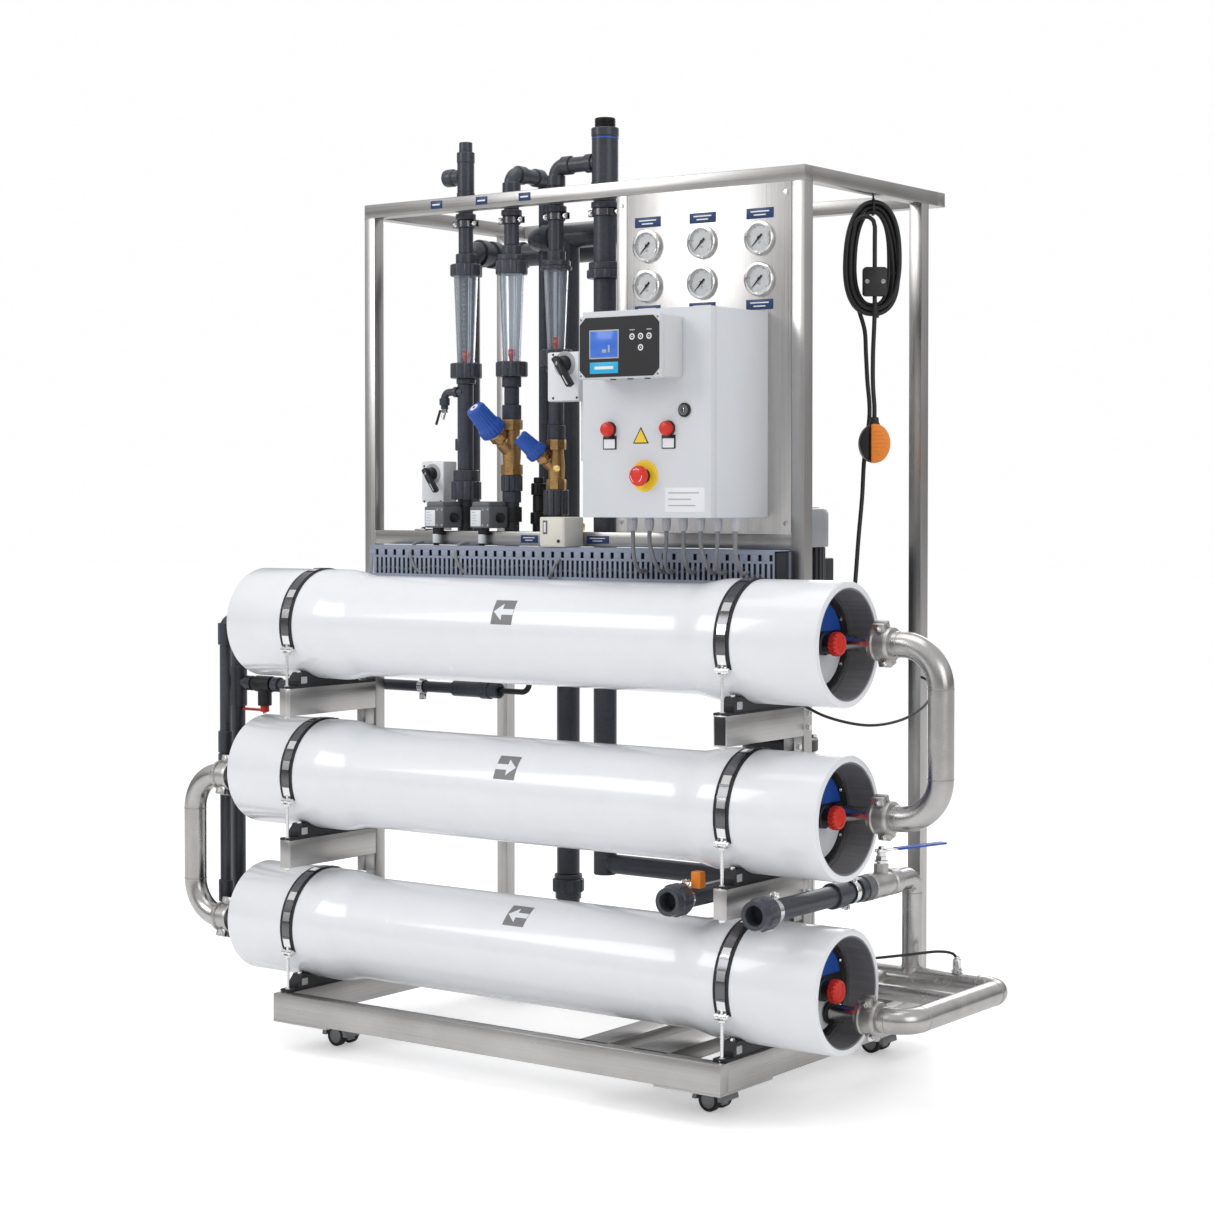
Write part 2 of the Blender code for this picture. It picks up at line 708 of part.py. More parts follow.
def meter_float(index):
    bottom = METER_BOTTOM[index] + GAP
    profile = [
        (0.0, 0.026),
        (0.008, 0.026),
        (0.008, 0.012),
        (0.0055, 0.010),
        (0.0055, 0.006),
        (0.004, 0.0),
        (0.0, 0.0),
    ]
    place = Vector((COLUMN_X[index], COLUMN_Y, bottom))
    part(f"meter_float_{index + 1}", RED_PLASTIC, [turned(profile, place, Z_AXIS, 10)], origin=place)


def handwheel(index):
    """A cap-shaped handwheel with a wider skirt, on the neck of its valve."""
    scale = VALVE_SCALES[index]
    profile = [
        (0.0, 0.074),
        (0.017, 0.074),
        (0.021, 0.070),
        (0.024, 0.026),
        (0.029, 0.020),
        (0.029, 0.004),
        (0.025, 0.0),
        (0.0, 0.0),
    ]
    scaled = [(radius * scale, height * scale) for radius, height in profile]
    direction = VALVE_DIRECTIONS[index]
    place = VALVE_CENTRES[index] + direction * (0.0605 * scale + GAP)
    wheel = turned(scaled, place, direction, 14)
    part(f"valve_handwheel_{index + 1}", BLUE_PLASTIC, [wheel], origin=place)


def meter_outlet(index, nut_top):
    """The nut above a flow meter, its pipe and the collar of the union above the top rail."""
    sections = [
        (METER_TOP[index] + GAP, nut_top, METER_NUT),
        (nut_top, 1.757, PVC_PIPE),
        (1.757, 1.7695, 0.022),
        (1.7695, 1.800, PVC_PIPE),
    ]
    return stack(COLUMN_X[index], COLUMN_Y, sections)


def rear_pipework():
    """The PVC behind the columns, the tops of columns 2 and 3, and the lines to the left and down."""
    x2 = COLUMN_X[1]
    x3 = COLUMN_X[2]
    top_2 = 1.8465
    top_3 = 1.8520
    pipe_a_y = 0.330
    riser = [
        (0.380, 1.612, 0.0240),
        (1.612, 1.645, 0.0380),
        (1.645, 1.757, 0.0240),
        (1.757, 1.7695, 0.0290),
        (1.7695, 1.798, 0.0240),
        (1.798, 1.9215, 0.0288),
        (1.9215, 1.942, 0.0220),
    ]
    b_x = -0.8677
    c_x = -1.1413
    big_x = -0.962
    big_z = 1.716
    cross_y = 0.430
    pipe_b = [(0.262, 0.303, 0.0245), (0.303, 0.356, 0.0340), (0.356, big_z, 0.0245)]
    concentrate_x = -1.612
    cross_z = 0.240
    left_line = [
        (-1.5293, PORT_OFFSET, VESSEL_HEIGHTS["top"]),
        (concentrate_x, PORT_OFFSET, VESSEL_HEIGHTS["top"]),
        (concentrate_x, PORT_OFFSET, cross_z),
        (concentrate_x, REAR_Y, cross_z),
        (b_x, REAR_Y, cross_z),
        (b_x, REAR_Y, cross_z + 0.050),
    ]
    over_2 = [
        (x2, COLUMN_Y, 1.79),
        (x2, COLUMN_Y, top_2),
        (x2, pipe_a_y, top_2),
        (x2, pipe_a_y, HEADER_Z),
    ]
    over_3 = [(x3, COLUMN_Y, 1.79), (x3, COLUMN_Y, top_3), (RISER_X, COLUMN_Y, top_3)]
    pipe_c_top = 1.700
    pipe_c = [
        (c_x, REAR_Y, 0.900),
        (c_x, REAR_Y, pipe_c_top),
        (c_x, cross_y, pipe_c_top),
        (b_x, cross_y, pipe_c_top),
    ]
    big_line = [
        (big_x, cross_y, big_z),
        (big_x, REAR_Y, big_z),
        (RISER_X, REAR_Y, big_z),
        (RISER_X, RISER_Y, big_z),
    ]
    outlet_x = -0.320
    outlet_z = 0.403
    outlet = [(RISER_X, RISER_Y, outlet_z), (outlet_x, RISER_Y, outlet_z), (outlet_x, -0.080, outlet_z)]
    pieces = [
        stack(RISER_X, RISER_Y, riser),
        meter_outlet(1, 1.675),
        meter_outlet(2, 1.656),
        stack(b_x, REAR_Y, pipe_b),
        pipe(over_2, PVC_PIPE, 0.022),
        pipe(over_3, PVC_PIPE, 0.022),
        pipe(pipe_c, PVC_LARGE, 0.032),
        pipe(big_line, PVC_LARGE, 0.032),
        pipe([(c_x + 0.004, REAR_Y, HEADER_Z), (b_x, REAR_Y, HEADER_Z)], 0.0240),
        pipe(left_line, PVC_PIPE, 0.030),
        rod((concentrate_x, PORT_OFFSET, 0.695), (concentrate_x, PORT_OFFSET, 0.786), 0.0200),
        pipe(outlet, 0.0200, 0.045),
        outlet_nut(outlet_x, -0.1205, outlet_z),
    ]
    drain_z = 0.748
    drain = [
        (concentrate_x, PORT_OFFSET, drain_z),
        (-1.375, PORT_OFFSET, drain_z),
        (-1.375, 0.212, drain_z),
        (-0.984, 0.212, drain_z),
    ]
    pieces.append(pipe(drain, 0.0120, 0.020))
    hose_x = -0.905
    hose_top = HEADER_Z - 0.015
    hose = [
        (-0.990, 0.212, drain_z),
        (hose_x, 0.212, drain_z),
        (hose_x, 0.212, hose_top),
        (hose_x, REAR_Y - 0.010, hose_top),
    ]
    pieces.append(pipe(hose, 0.0060, 0.020))
    pieces.append(rod((-1.110, 0.212, drain_z), (-0.984, 0.212, drain_z), 0.0170, 12))
    pieces.append(rod((-1.530, PORT_OFFSET, drain_z), (-1.530, PORT_OFFSET, 0.700), 0.0160, 12))
    part("rear_pipework", PVC_GREY, pieces)


def drain_valve_handle():
    place = Vector((-1.530, PORT_OFFSET, 0.700 - GAP))
    hub = rod(place, place - Z_AXIS * 0.014, 0.010, 12)
    bar = box(place + Vector((-0.066, -0.006, -0.013)), place + Vector((0.004, 0.006, -0.007)))
    part("drain_valve_handle", RED_PLASTIC, [hub, bar], origin=place)


def ball_valve_lever():
    """The long lever on the outlet's ball valve, cranked up and along the pipe."""
    place = Vector((-0.090, 0.280, 0.408 + 0.062 + GAP))
    heading = Vector((0.050, 0.177, 0.0)).normalized()
    hub = rod(place, place + Z_AXIS * 0.006, 0.013, 12)
    turn = Matrix.Rotation(math.atan2(heading.y, heading.x), 4, "Z")
    bar = box((-0.006, -0.010, 0.001), (0.175, 0.010, 0.005))
    bar.matrix_world = Matrix.Translation(place) @ turn
    part("ball_valve_lever", BLUE_PLASTIC, [hub, as_mesh(bar)], origin=place)


def gauge_panel():
    low = (PANEL_LEFT, FRAME_FRONT, MID_RAIL_TOP + GAP)
    pieces = [box(low, (PANEL_RIGHT, FRAME_FRONT + SHEET, FRAME_TOP - TUBE - GAP))]
    profile = [
        (0.0, 0.002),
        (0.0290, 0.002),
        (0.0290, 0.009),
        (0.0330, 0.009),
        (0.0330, -0.030),
        (0.0, -0.030),
    ]
    for x in GAUGE_X:
        for z in GAUGE_Z:
            pieces.append(turned(profile, (x, FRAME_FRONT, z), FRONT, 14))
    part("gauge_panel", STEEL, pieces)


def gauge_needle(column, row):
    """A pointer with a tail, just off the dial, at its zero mark on the lower left."""
    place = Vector((GAUGE_X[column], FRAME_FRONT - 0.0035, GAUGE_Z[row]))
    zero = math.radians(225)
    tail = 0.009
    tip = 0.0215
    outline = [
        (-tail, -0.0022),
        (-tail, 0.0022),
        (0.0, 0.0018),
        (tip, 0.0005),
        (tip, -0.0005),
        (0.0, -0.0018),
    ]
    upright = Matrix.Rotation(math.radians(90), 4, "X")
    turn = Matrix.Rotation(-zero, 4, "Y")
    needle = plate(outline, [], 0.0010, Matrix.Translation(place) @ turn @ upright)
    part(f"gauge_needle_{column + 1}_{row + 1}", BLACK_PLASTIC, [needle], origin=place)


def cable_duct():
    low = Vector((-1.2465, 0.091, 0.990))
    high = Vector((-0.2180, FRAME_FRONT - GAP, 1.0592))
    wall = 0.002
    hollow = box(low + Vector((-0.01, wall, wall)), high + Vector((0.01, -wall, -wall)))
    part("cable_duct", DUCT_GREY, [box(low, high)], [hollow])


def control_cabinet():
    """The cabinet's open case, what is mounted inside, its glands and the isolator beside it."""
    low = Vector((CABINET_LEFT, DOOR_BACK, CABINET_BOTTOM))
    high = Vector((CABINET_RIGHT, CABINET_BACK, CABINET_TOP))
    hollow = box(low + Vector((SHEET, -0.01, SHEET)), high - Vector((SHEET, SHEET, SHEET)))
    pieces = [
        carved(box(low, high), hollow),
        box((-0.555, 0.136, 1.140), (-0.284, 0.1395, 1.505)),
        box((-0.540, 0.138, 1.160), (-0.520, 0.149, 1.180)),
        box((-0.320, 0.138, 1.470), (-0.300, 0.149, 1.490)),
        box((-0.540, 0.065, 1.395), (-0.410, 0.138, 1.475)),
        box((-0.395, 0.080, 1.395), (-0.300, 0.138, 1.480)),
        box((-0.545, 0.060, 1.255), (-0.440, 0.138, 1.350)),
        box((-0.425, 0.075, 1.265), (-0.300, 0.138, 1.345)),
        box((-0.545, 0.095, 1.170), (-0.295, 0.138, 1.215)),
        box((-0.700, 0.1205, 1.235), (CABINET_LEFT + 0.001, 0.1235, 1.450)),
        box((-0.762, 0.088, 1.3555), (-0.6815, 0.1210, 1.4560)),
    ]
    for index in range(7):
        x = -0.520 + index * 0.040
        pieces.append(rod((x, 0.050, 1.095), (x, 0.050, CABINET_BOTTOM + 0.001), 0.0095, 8))
    part("control_cabinet", CABINET_GREY, pieces)


def cabinet_door():
    """The door's pan, its lamps, the stop button's plate and the lock's ring."""
    low = Vector((CABINET_LEFT, DOOR_FRONT, CABINET_BOTTOM))
    high = Vector((CABINET_RIGHT, DOOR_BACK - GAP, CABINET_TOP))
    hinge = Vector((CABINET_LEFT, DOOR_BACK - GAP, (CABINET_BOTTOM + CABINET_TOP) / 2))
    hollow = box(low + Vector((SHEET, SHEET, SHEET)), high + Vector((-SHEET, 0.01, -SHEET)))
    pieces = [box(low, high)]
    inside = DOOR_FRONT + 0.001
    for x in (-0.503, -0.365):
        pieces.append(rod((x, inside, 1.2915), (x, DOOR_FRONT - 0.020, 1.2915), 0.015, 16))
    pieces.append(rod(STOP_BUTTON + Y_AXIS * 0.001, STOP_BUTTON - Y_AXIS * 0.0025, 0.030, 18))
    pieces.append(rod(STOP_BUTTON, STOP_BUTTON - Y_AXIS * 0.012, 0.014, 16))
    pieces.append(rod(DOOR_LOCK + Y_AXIS * 0.001, DOOR_LOCK - Y_AXIS * 0.005, 0.0135, 16))
    cuts = [
        hollow,
        rod(STOP_BUTTON - Y_AXIS * 0.0005, STOP_BUTTON - Y_AXIS * 0.020, 0.0085, 12),
        rod(DOOR_LOCK + Y_AXIS * 0.020, DOOR_LOCK - Y_AXIS * 0.020, 0.0103, 16),
    ]
    part("cabinet_door", CABINET_GREY, pieces, cuts, origin=hinge)


def stop_button():
    """A mushroom head on a stem that slides in the collar on the door."""
    place = STOP_BUTTON
    profile = [
        (0.0, 0.030),
        (0.014, 0.029),
        (0.0195, 0.025),
        (0.0200, 0.017),
        (0.0080, 0.017),
        (0.0080, 0.006),
        (0.0, 0.006),
    ]
    part("emergency_stop_button", RED_PLASTIC, [turned(profile, place, FRONT, 14)], origin=place)


def door_lock():
    """The lock's key insert and the cam behind the door."""
    place = DOOR_LOCK
    insert = rod(place - Y_AXIS * 0.007, place + Y_AXIS * 0.010, 0.0100, 16)
    cam = box(place + Vector((-0.006, 0.008, -0.006)), place + Vector((0.034, 0.0105, 0.006)))
    part("door_lock", BLACK_PLASTIC, [insert, cam], origin=place)


def control_box():
    """The controller's housing on the door, open at the back."""
    low = Vector((-0.5215, -0.128, 1.385))
    high = Vector((-0.3305, DOOR_FRONT - GAP, 1.5045))
    wall = 0.003
    hollow = box(low + Vector((wall, wall, wall)), high + Vector((-wall, 0.01, -wall)))
    part("control_box", CABINET_GREY, [box(low, high)], [hollow])


ISOLATOR_PIVOTS = (Vector((-0.7165, 0.088 - GAP, 1.431)), Vector((-1.160, 0.198 - GAP, 1.2120)))


def isolator_box():
    """The second isolator on its bracket, behind the first column."""
    pieces = [
        box((-1.1910, 0.198, 1.1505), (-1.1280, 0.2430, 1.2395)),
        box((-1.175, 0.242, MID_RAIL_TOP + GAP), (-1.145, 0.245, 1.235)),
        box((-1.175, 0.156, MID_RAIL_TOP + GAP), (-1.145, 0.2445, MID_RAIL_TOP + GAP + 0.003)),
    ]
    part("isolator_box_2", CABINET_GREY, pieces)


def isolator_handle(index):
    """A rotary handle: a round boss and a grip that points down to the right."""
    place = ISOLATOR_PIVOTS[index]
    scale = (1.0, 0.85)[index]
    boss = rod(place, place - Y_AXIS * 0.018 * scale, 0.0165 * scale, 16)
    grip = box((-0.016 * scale, -0.030 * scale, -0.0065), (0.055 * scale, -0.012 * scale, 0.0065))
    grip.matrix_world = Matrix.Translation(place) @ Matrix.Rotation(math.radians(56), 4, "Y")
    part(f"isolator_handle_{index + 1}", BLACK_PLASTIC, [boss, as_mesh(grip)], origin=place)


def caster(index, x, y):
    """A twin-wheel caster: a hooded yoke that swivels, and two wheels on one axle."""
    swivel = Vector((x + CASTER_TRAIL, y, 0.0))
    axle = Vector((x, y, WHEEL_RADIUS))
    plate_low = BASE_BOTTOM - CASTER_PLATE - GAP
    half_length = 0.034
    outer_rise = 0.030
    inner = WHEEL_RADIUS + 0.0025
    hood = []
    for step in range(9):
        angle = math.pi * step / 8
        hood.append((half_length * math.cos(angle), outer_rise * math.sin(angle)))
    for step in range(7):
        angle = math.pi * (1 - step / 6)
        hood.append((inner * math.cos(angle), inner * math.sin(angle)))
    upright = Matrix.Rotation(math.radians(90), 4, "X")
    pieces = [
        plate(hood, [], 2 * WHEEL_HALF_WIDTH + 0.004, Matrix.Translation(axle) @ upright),
        box(axle + Vector((-0.018, -0.0105, -0.010)), axle + Vector((0.024, 0.0105, 0.028))),
        rod((swivel.x, y, 0.045), (swivel.x, y, plate_low), 0.0190, 16),
    ]
    bore = rod(axle - Y_AXIS * 0.03, axle + Y_AXIS * 0.03, 0.0043, 12)
    part(f"caster_yoke_{index}", CABINET_GREY, pieces, [bore], origin=swivel)
    profile = [
        (0.0, WHEEL_HALF_WIDTH),
        (WHEEL_RADIUS, WHEEL_HALF_WIDTH),
        (WHEEL_RADIUS, 0.0120),
        (0.0040, 0.0120),
        (0.0040, -0.0120),
        (WHEEL_RADIUS, -0.0120),
        (WHEEL_RADIUS, -WHEEL_HALF_WIDTH),
        (0.0, -WHEEL_HALF_WIDTH),
    ]
    wheels = turned(profile, axle, Y_AXIS, 20)
    part(f"caster_wheels_{index}", BLACK_RUBBER, [wheels], origin=axle)


def smooth_route(points, spacing):
    """Points about spacing apart on a Catmull-Rom curve through the route's own points."""
    route = [Vector(p) for p in points]
    ends = [route[0] * 2 - route[1], *route, route[-1] * 2 - route[-2]]
    found = []
    for index in range(len(route) - 1):
        a, b, c, d = ends[index : index + 4]
        count = max(1, round((c - b).length / spacing))
        for step in range(count):
            t = step / count
            linear = c - a
            square = 2 * a - 5 * b + 4 * c - d
            cube = 3 * b - a - 3 * c + d
            found.append((2 * b + linear * t + square * t**2 + cube * t**3) / 2)
    found.append(route[-1])
    return found


def hank_point(across, out, height):
    """A point in the hank's own frame: across its width, out towards the front and up."""
    return HANK_CENTRE + HANK_WIDTH_DIRECTION * across + HANK_FRONT * out + Z_AXIS * (height - HANK_CENTRE.z)


GLAND_LENGTH = 0.022
HANK_BOTTOM = HANK_CENTRE.z - HANK_HEIGHT / 2
HANK_TOP = HANK_CENTRE.z + HANK_HEIGHT / 2
LEAD_ROUTE = [
    CABLE_GLAND + Y_AXIS * (GLAND_LENGTH + GAP),
    CABLE_GLAND + Y_AXIS * 0.045,
    Vector((-0.203, 0.262, 0.917)),
    Vector((-0.206, 0.300, 0.893)),
    Vector((-0.212, 0.342, 0.885)),
    Vector((-0.220, 0.378, 0.902)),
    Vector((-0.226, 0.402, 0.942)),
    Vector((-0.2294, 0.4175, 0.996)),
    Vector((-0.2298, 0.4300, 1.080)),
    Vector((-0.2300, 0.4440, 1.160)),
    Vector((-0.2285, 0.4500, 1.240)),
    Vector((-0.2240, 0.4540, 1.340)),
    Vector((-0.2190, 0.4580, 1.430)),
    Vector((-0.2150, 0.4600, 1.475)),
    Vector((-0.2150, 0.4600, HANK_BOTTOM - GAP)),
]
DROP_ROUTE = [
    hank_point(0.0, HANK_DEPTH / 2 + GAP, HANK_TOP - 0.016),
    hank_point(0.0, DROP_OFFSET - 0.014, HANK_TOP - 0.016),
    hank_point(0.0, DROP_OFFSET - 0.004, HANK_TOP - 0.025),
    hank_point(0.0, DROP_OFFSET, HANK_TOP - 0.040),
    hank_point(0.0, DROP_OFFSET, HANK_TOP - 0.090),
    hank_point(0.0, DROP_OFFSET, 1.595),
    hank_point(0.0, DROP_OFFSET, 1.530),
    hank_point(-0.003, DROP_OFFSET, 1.450),
    hank_point(-0.003, DROP_OFFSET, 1.390),
    hank_point(0.0, DROP_OFFSET, 1.345),
    hank_point(0.0, DROP_OFFSET, FLOAT_TOP + GAP),
]
CORD_SPACING = 0.027


def float_cable():
    """The float switch's cable: the gland, the lead, the hank and the drop to the float."""
    lead = smooth_route(LEAD_ROUTE, CORD_SPACING)
    part("float_cable_lead", BLACK_RUBBER, [tube(lead, CABLE_RADIUS, 2)])
    drop = smooth_route(DROP_ROUTE, CORD_SPACING)
    part("float_cable_drop", BLACK_RUBBER, [tube(drop, CABLE_RADIUS, 2)])
    outline = stadium(HANK_WIDTH, HANK_HEIGHT)
    hole = stadium(HANK_WIDTH - 2 * HANK_BUNDLE, HANK_HEIGHT - 2 * HANK_BUNDLE)
    ring = plate(outline, [hole], HANK_DEPTH, hank_matrix(0.0, HANK_CENTRE.z))
    part("float_cable_hank", BLACK_RUBBER, [ring])


def hank_matrix(out, height):
    """A plane that faces the way the hank does, with its X across the hank and its Y up."""
    rows = Matrix((HANK_WIDTH_DIRECTION, Z_AXIS, HANK_FRONT)).transposed().to_4x4()
    return Matrix.Translation(hank_point(0.0, out, height)) @ rows


def stadium(width, height, steps=8):
    """An upright outline with straight sides and half-round ends."""
    radius = width / 2
    rise = height / 2 - radius
    points = []
    for centre, start in ((rise, 0.0), (-rise, math.pi)):
        for step in range(steps + 1):
            angle = start + math.pi * step / steps
            points.append((radius * math.cos(angle), centre + radius * math.sin(angle)))
    return points


def rectangle(width, height, corner):
    """An outline with its corners cut."""
    half = width / 2
    rise = height / 2
    return [
        (half - corner, -rise),
        (half, -rise + corner),
        (half, rise - corner),
        (half - corner, rise),
        (corner - half, rise),
        (-half, rise - corner),
        (-half, corner - rise),
        (corner - half, -rise),
    ]


def float_pieces():
    """The counterweight clamped round the cable, and the float switch below it."""
    block = plate(rectangle(0.048, 0.058, 0.005), [], 0.022, hank_matrix(DROP_OFFSET, 1.595))
    bore = rod(hank_point(0.0, DROP_OFFSET, 1.55), hank_point(0.0, DROP_OFFSET, 1.64), 0.0056, 12)
    part("float_counterweight", BLACK_PLASTIC, [block], [bore])
    middle = (FLOAT_BOTTOM + FLOAT_TOP - 0.014) / 2
    body = plate(rectangle(0.063, 0.079, 0.018), [], 0.040, hank_matrix(DROP_OFFSET, middle))
    neck_end = hank_point(0.0, DROP_OFFSET, FLOAT_TOP)
    neck = rod(hank_point(0.0, DROP_OFFSET, 1.300), neck_end, 0.011, 12, 0.0075)
    part("float_switch", ORANGE_PLASTIC, [body, neck])


def cable_gland():
    """The float cable's gland, which belongs to the frame's right front post."""
    return rod(CABLE_GLAND - Y_AXIS * 0.001, CABLE_GLAND + Y_AXIS * GLAND_LENGTH, 0.010, 12)


def build():
    base_frame()
    main_frame()
    for name, height in VESSEL_HEIGHTS.items():
        vessel(name, height)
    right_ports = {"top": (PORT_OFFSET, 0.0), "middle": (PORT_OFFSET, 0.0), "bottom": (0.033, -0.048)}
    stub_ends = {"top": 0.0397, "middle": 0.0397, "bottom": 0.0297}
    centre_port = (0.0, 0.0, PVC_SMALL)
    left_ports = {
        "top": [centre_port, (PORT_OFFSET, 0.0, PVC_PIPE)],
        "middle": [centre_port, (*LEFT_PORTS["middle"], PORT_RADIUS)],
        "bottom": [centre_port, (*LEFT_PORTS["bottom"], PORT_RADIUS)],
    }
    for name, height in VESSEL_HEIGHTS.items():
        end_head(name, height, right_ports[name], stub_ends[name])
        membrane_element(name, height, left_ports[name])
    return_bend_right()
    return_bend_left()
    permeate_header()
    feed_manifold()
    pump()
    column_upper_1()
    column_lower_1()
    column_lower_2()
    column_lower_3()
    rear_pipework()
    for index in range(3):
        meter_tube(index)
        meter_float(index)
    for index in range(2):
        handwheel(index)
        isolator_handle(index)
    drain_valve_handle()
    ball_valve_lever()
    gauge_panel()
    for column in range(3):
        for row in range(2):
            gauge_needle(column, row)
    cable_duct()
    control_cabinet()
    cabinet_door()
    stop_button()
    door_lock()
    control_box()
    isolator_box()
    number = 1
    for y in CASTER_Y:
        for x in CASTER_X:
            caster(number, x, y)
            number += 1
    float_cable()
    float_pieces()


build()
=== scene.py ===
"""The looks of the reverse osmosis unit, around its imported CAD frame.

Everything is drawn in the unit's drawing frame, in metres: X = 0 is the right rim of the vessels,
Y = 0 the plane through their axes and Z = 0 the floor. Piece.done moves a finished piece by ORIGIN.
"""

import math

import bmesh
import bpy
from mathutils import Matrix, Vector


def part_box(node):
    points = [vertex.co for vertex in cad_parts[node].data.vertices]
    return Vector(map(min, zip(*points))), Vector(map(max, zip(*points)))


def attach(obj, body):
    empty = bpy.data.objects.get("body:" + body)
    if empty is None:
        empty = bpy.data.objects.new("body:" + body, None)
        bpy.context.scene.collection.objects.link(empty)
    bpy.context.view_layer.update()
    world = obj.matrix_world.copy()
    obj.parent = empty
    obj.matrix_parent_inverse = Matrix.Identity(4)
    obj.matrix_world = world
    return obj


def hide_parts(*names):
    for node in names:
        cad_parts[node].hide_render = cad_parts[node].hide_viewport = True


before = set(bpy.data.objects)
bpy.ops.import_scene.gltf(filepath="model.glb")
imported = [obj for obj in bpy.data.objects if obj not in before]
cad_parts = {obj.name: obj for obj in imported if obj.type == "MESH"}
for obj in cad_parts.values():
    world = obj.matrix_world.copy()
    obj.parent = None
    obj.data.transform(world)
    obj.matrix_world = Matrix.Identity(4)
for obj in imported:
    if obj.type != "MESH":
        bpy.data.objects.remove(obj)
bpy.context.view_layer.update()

rim_low, rim_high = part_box("vessel_top")
ORIGIN = Vector((rim_high.x, (rim_low.y + rim_high.y) / 2, 0.0))
X_AXIS = Vector((1, 0, 0))
Y_AXIS = Vector((0, 1, 0))
Z_AXIS = Vector((0, 0, 1))
FRONT = -Y_AXIS

# The frame's driving sizes, as in the CAD.
VESSEL_LENGTH = 1.4736
VESSELS = {"top": 0.891, "middle": 0.571, "bottom": 0.251}
BARREL = 0.106
BELL = 0.117
BORE = 0.1015
TUBE = 0.03
DEEP_TUBE = 0.058
LEFT = -1.3135
RIGHT = -0.187
FACE = 0.151
POST_BACK = 0.613
BACK = 0.713
TOP = 1.8
MID_TOP = 1.09
BASE_FRONT = -0.1414
BASE_LOW = 0.062
BASE_TOP = 0.118
PORT = 0.06
PORT_RADIUS = 0.0165
STEEL_PIPE = 0.02415
COLUMN_X = (-1.075, -0.95, -0.831)
COLUMN_Y = 0.21
RISER_X = -0.707
RISER_Y = 0.2135
METER_LOW = (1.4503, 1.4493, 1.4703)
METER_HIGH = (1.6357, 1.6327, 1.6347)
DOOR_FACE = -0.05
HEADER_Z = 0.93
CASE = (-0.569, -0.27, 1.122, 1.52)
SHEET = 0.002
SHARP_EDGE = math.radians(32)


# ---------------------------------------------------------------- materials

def finish(name, colour, roughness, metallic=0.0, grain=(60, 60, 60), spread=0.06, rough_spread=0.08,
        bump=0.15, relief=0.0003, tint=None, coat=0.0, transmission=0.0, ior=1.45, emission=0.0):
    """A Principled finish whose colour, roughness and relief vary with noise of the given grain."""
    made = bpy.data.materials.new(name)
    made.use_nodes = True
    nodes = made.node_tree.nodes
    links = made.node_tree.links
    shader = nodes["Principled BSDF"]
    shader.inputs["Metallic"].default_value = metallic
    shader.inputs["Coat Weight"].default_value = coat
    shader.inputs["Coat Roughness"].default_value = 0.06
    shader.inputs["Transmission Weight"].default_value = transmission
    shader.inputs["IOR"].default_value = ior
    coordinates = nodes.new("ShaderNodeTexCoord")
    mapping = nodes.new("ShaderNodeMapping")
    mapping.inputs["Scale"].default_value = grain
    links.new(coordinates.outputs["Object"], mapping.inputs["Vector"])
    fine = nodes.new("ShaderNodeTexNoise")
    fine.inputs["Scale"].default_value = 1.0
    fine.inputs["Detail"].default_value = 4.0
    links.new(mapping.outputs["Vector"], fine.inputs["Vector"])
    cloud = nodes.new("ShaderNodeTexNoise")
    cloud.inputs["Scale"].default_value = 7.0
    cloud.inputs["Detail"].default_value = 3.0
    links.new(coordinates.outputs["Object"], cloud.inputs["Vector"])
    both = nodes.new("ShaderNodeMath")
    both.operation = "ADD"
    links.new(fine.outputs["Fac"], both.inputs[0])
    links.new(cloud.outputs["Fac"], both.inputs[1])
    shade = nodes.new("ShaderNodeMapRange")
    shade.inputs["From Min"].default_value = 0.7
    shade.inputs["From Max"].default_value = 1.3
    links.new(both.outputs["Value"], shade.inputs["Value"])
    mix = nodes.new("ShaderNodeMix")
    mix.data_type = "RGBA"
    dark = [channel * (1 - spread) for channel in (tint or colour)]
    light = [min(1.0, channel * (1 + spread)) for channel in colour]
    mix.inputs["A"].default_value = (*dark, 1.0)
    mix.inputs["B"].default_value = (*light, 1.0)
    links.new(shade.outputs["Result"], mix.inputs["Factor"])
    links.new(mix.outputs["Result"], shader.inputs["Base Color"])
    rough = nodes.new("ShaderNodeMapRange")
    rough.inputs["To Min"].default_value = max(0.02, roughness - rough_spread)
    rough.inputs["To Max"].default_value = min(1.0, roughness + rough_spread)
    links.new(fine.outputs["Fac"], rough.inputs["Value"])
    links.new(rough.outputs["Result"], shader.inputs["Roughness"])
    height = nodes.new("ShaderNodeBump")
    height.inputs["Strength"].default_value = bump
    height.inputs["Distance"].default_value = relief
    links.new(fine.outputs["Fac"], height.inputs["Height"])
    links.new(height.outputs["Normal"], shader.inputs["Normal"])
    if emission:
        links.new(mix.outputs["Result"], shader.inputs["Emission Color"])
        shader.inputs["Emission Strength"].default_value = emission
    return made


def brushed(name, grain):
    """Stainless steel brushed along one axis."""
    return finish(name, (0.52, 0.51, 0.5), 0.3, 1.0, grain, spread=0.06, rough_spread=0.08, bump=0.18,
        relief=0.0002, tint=(0.46, 0.45, 0.44))


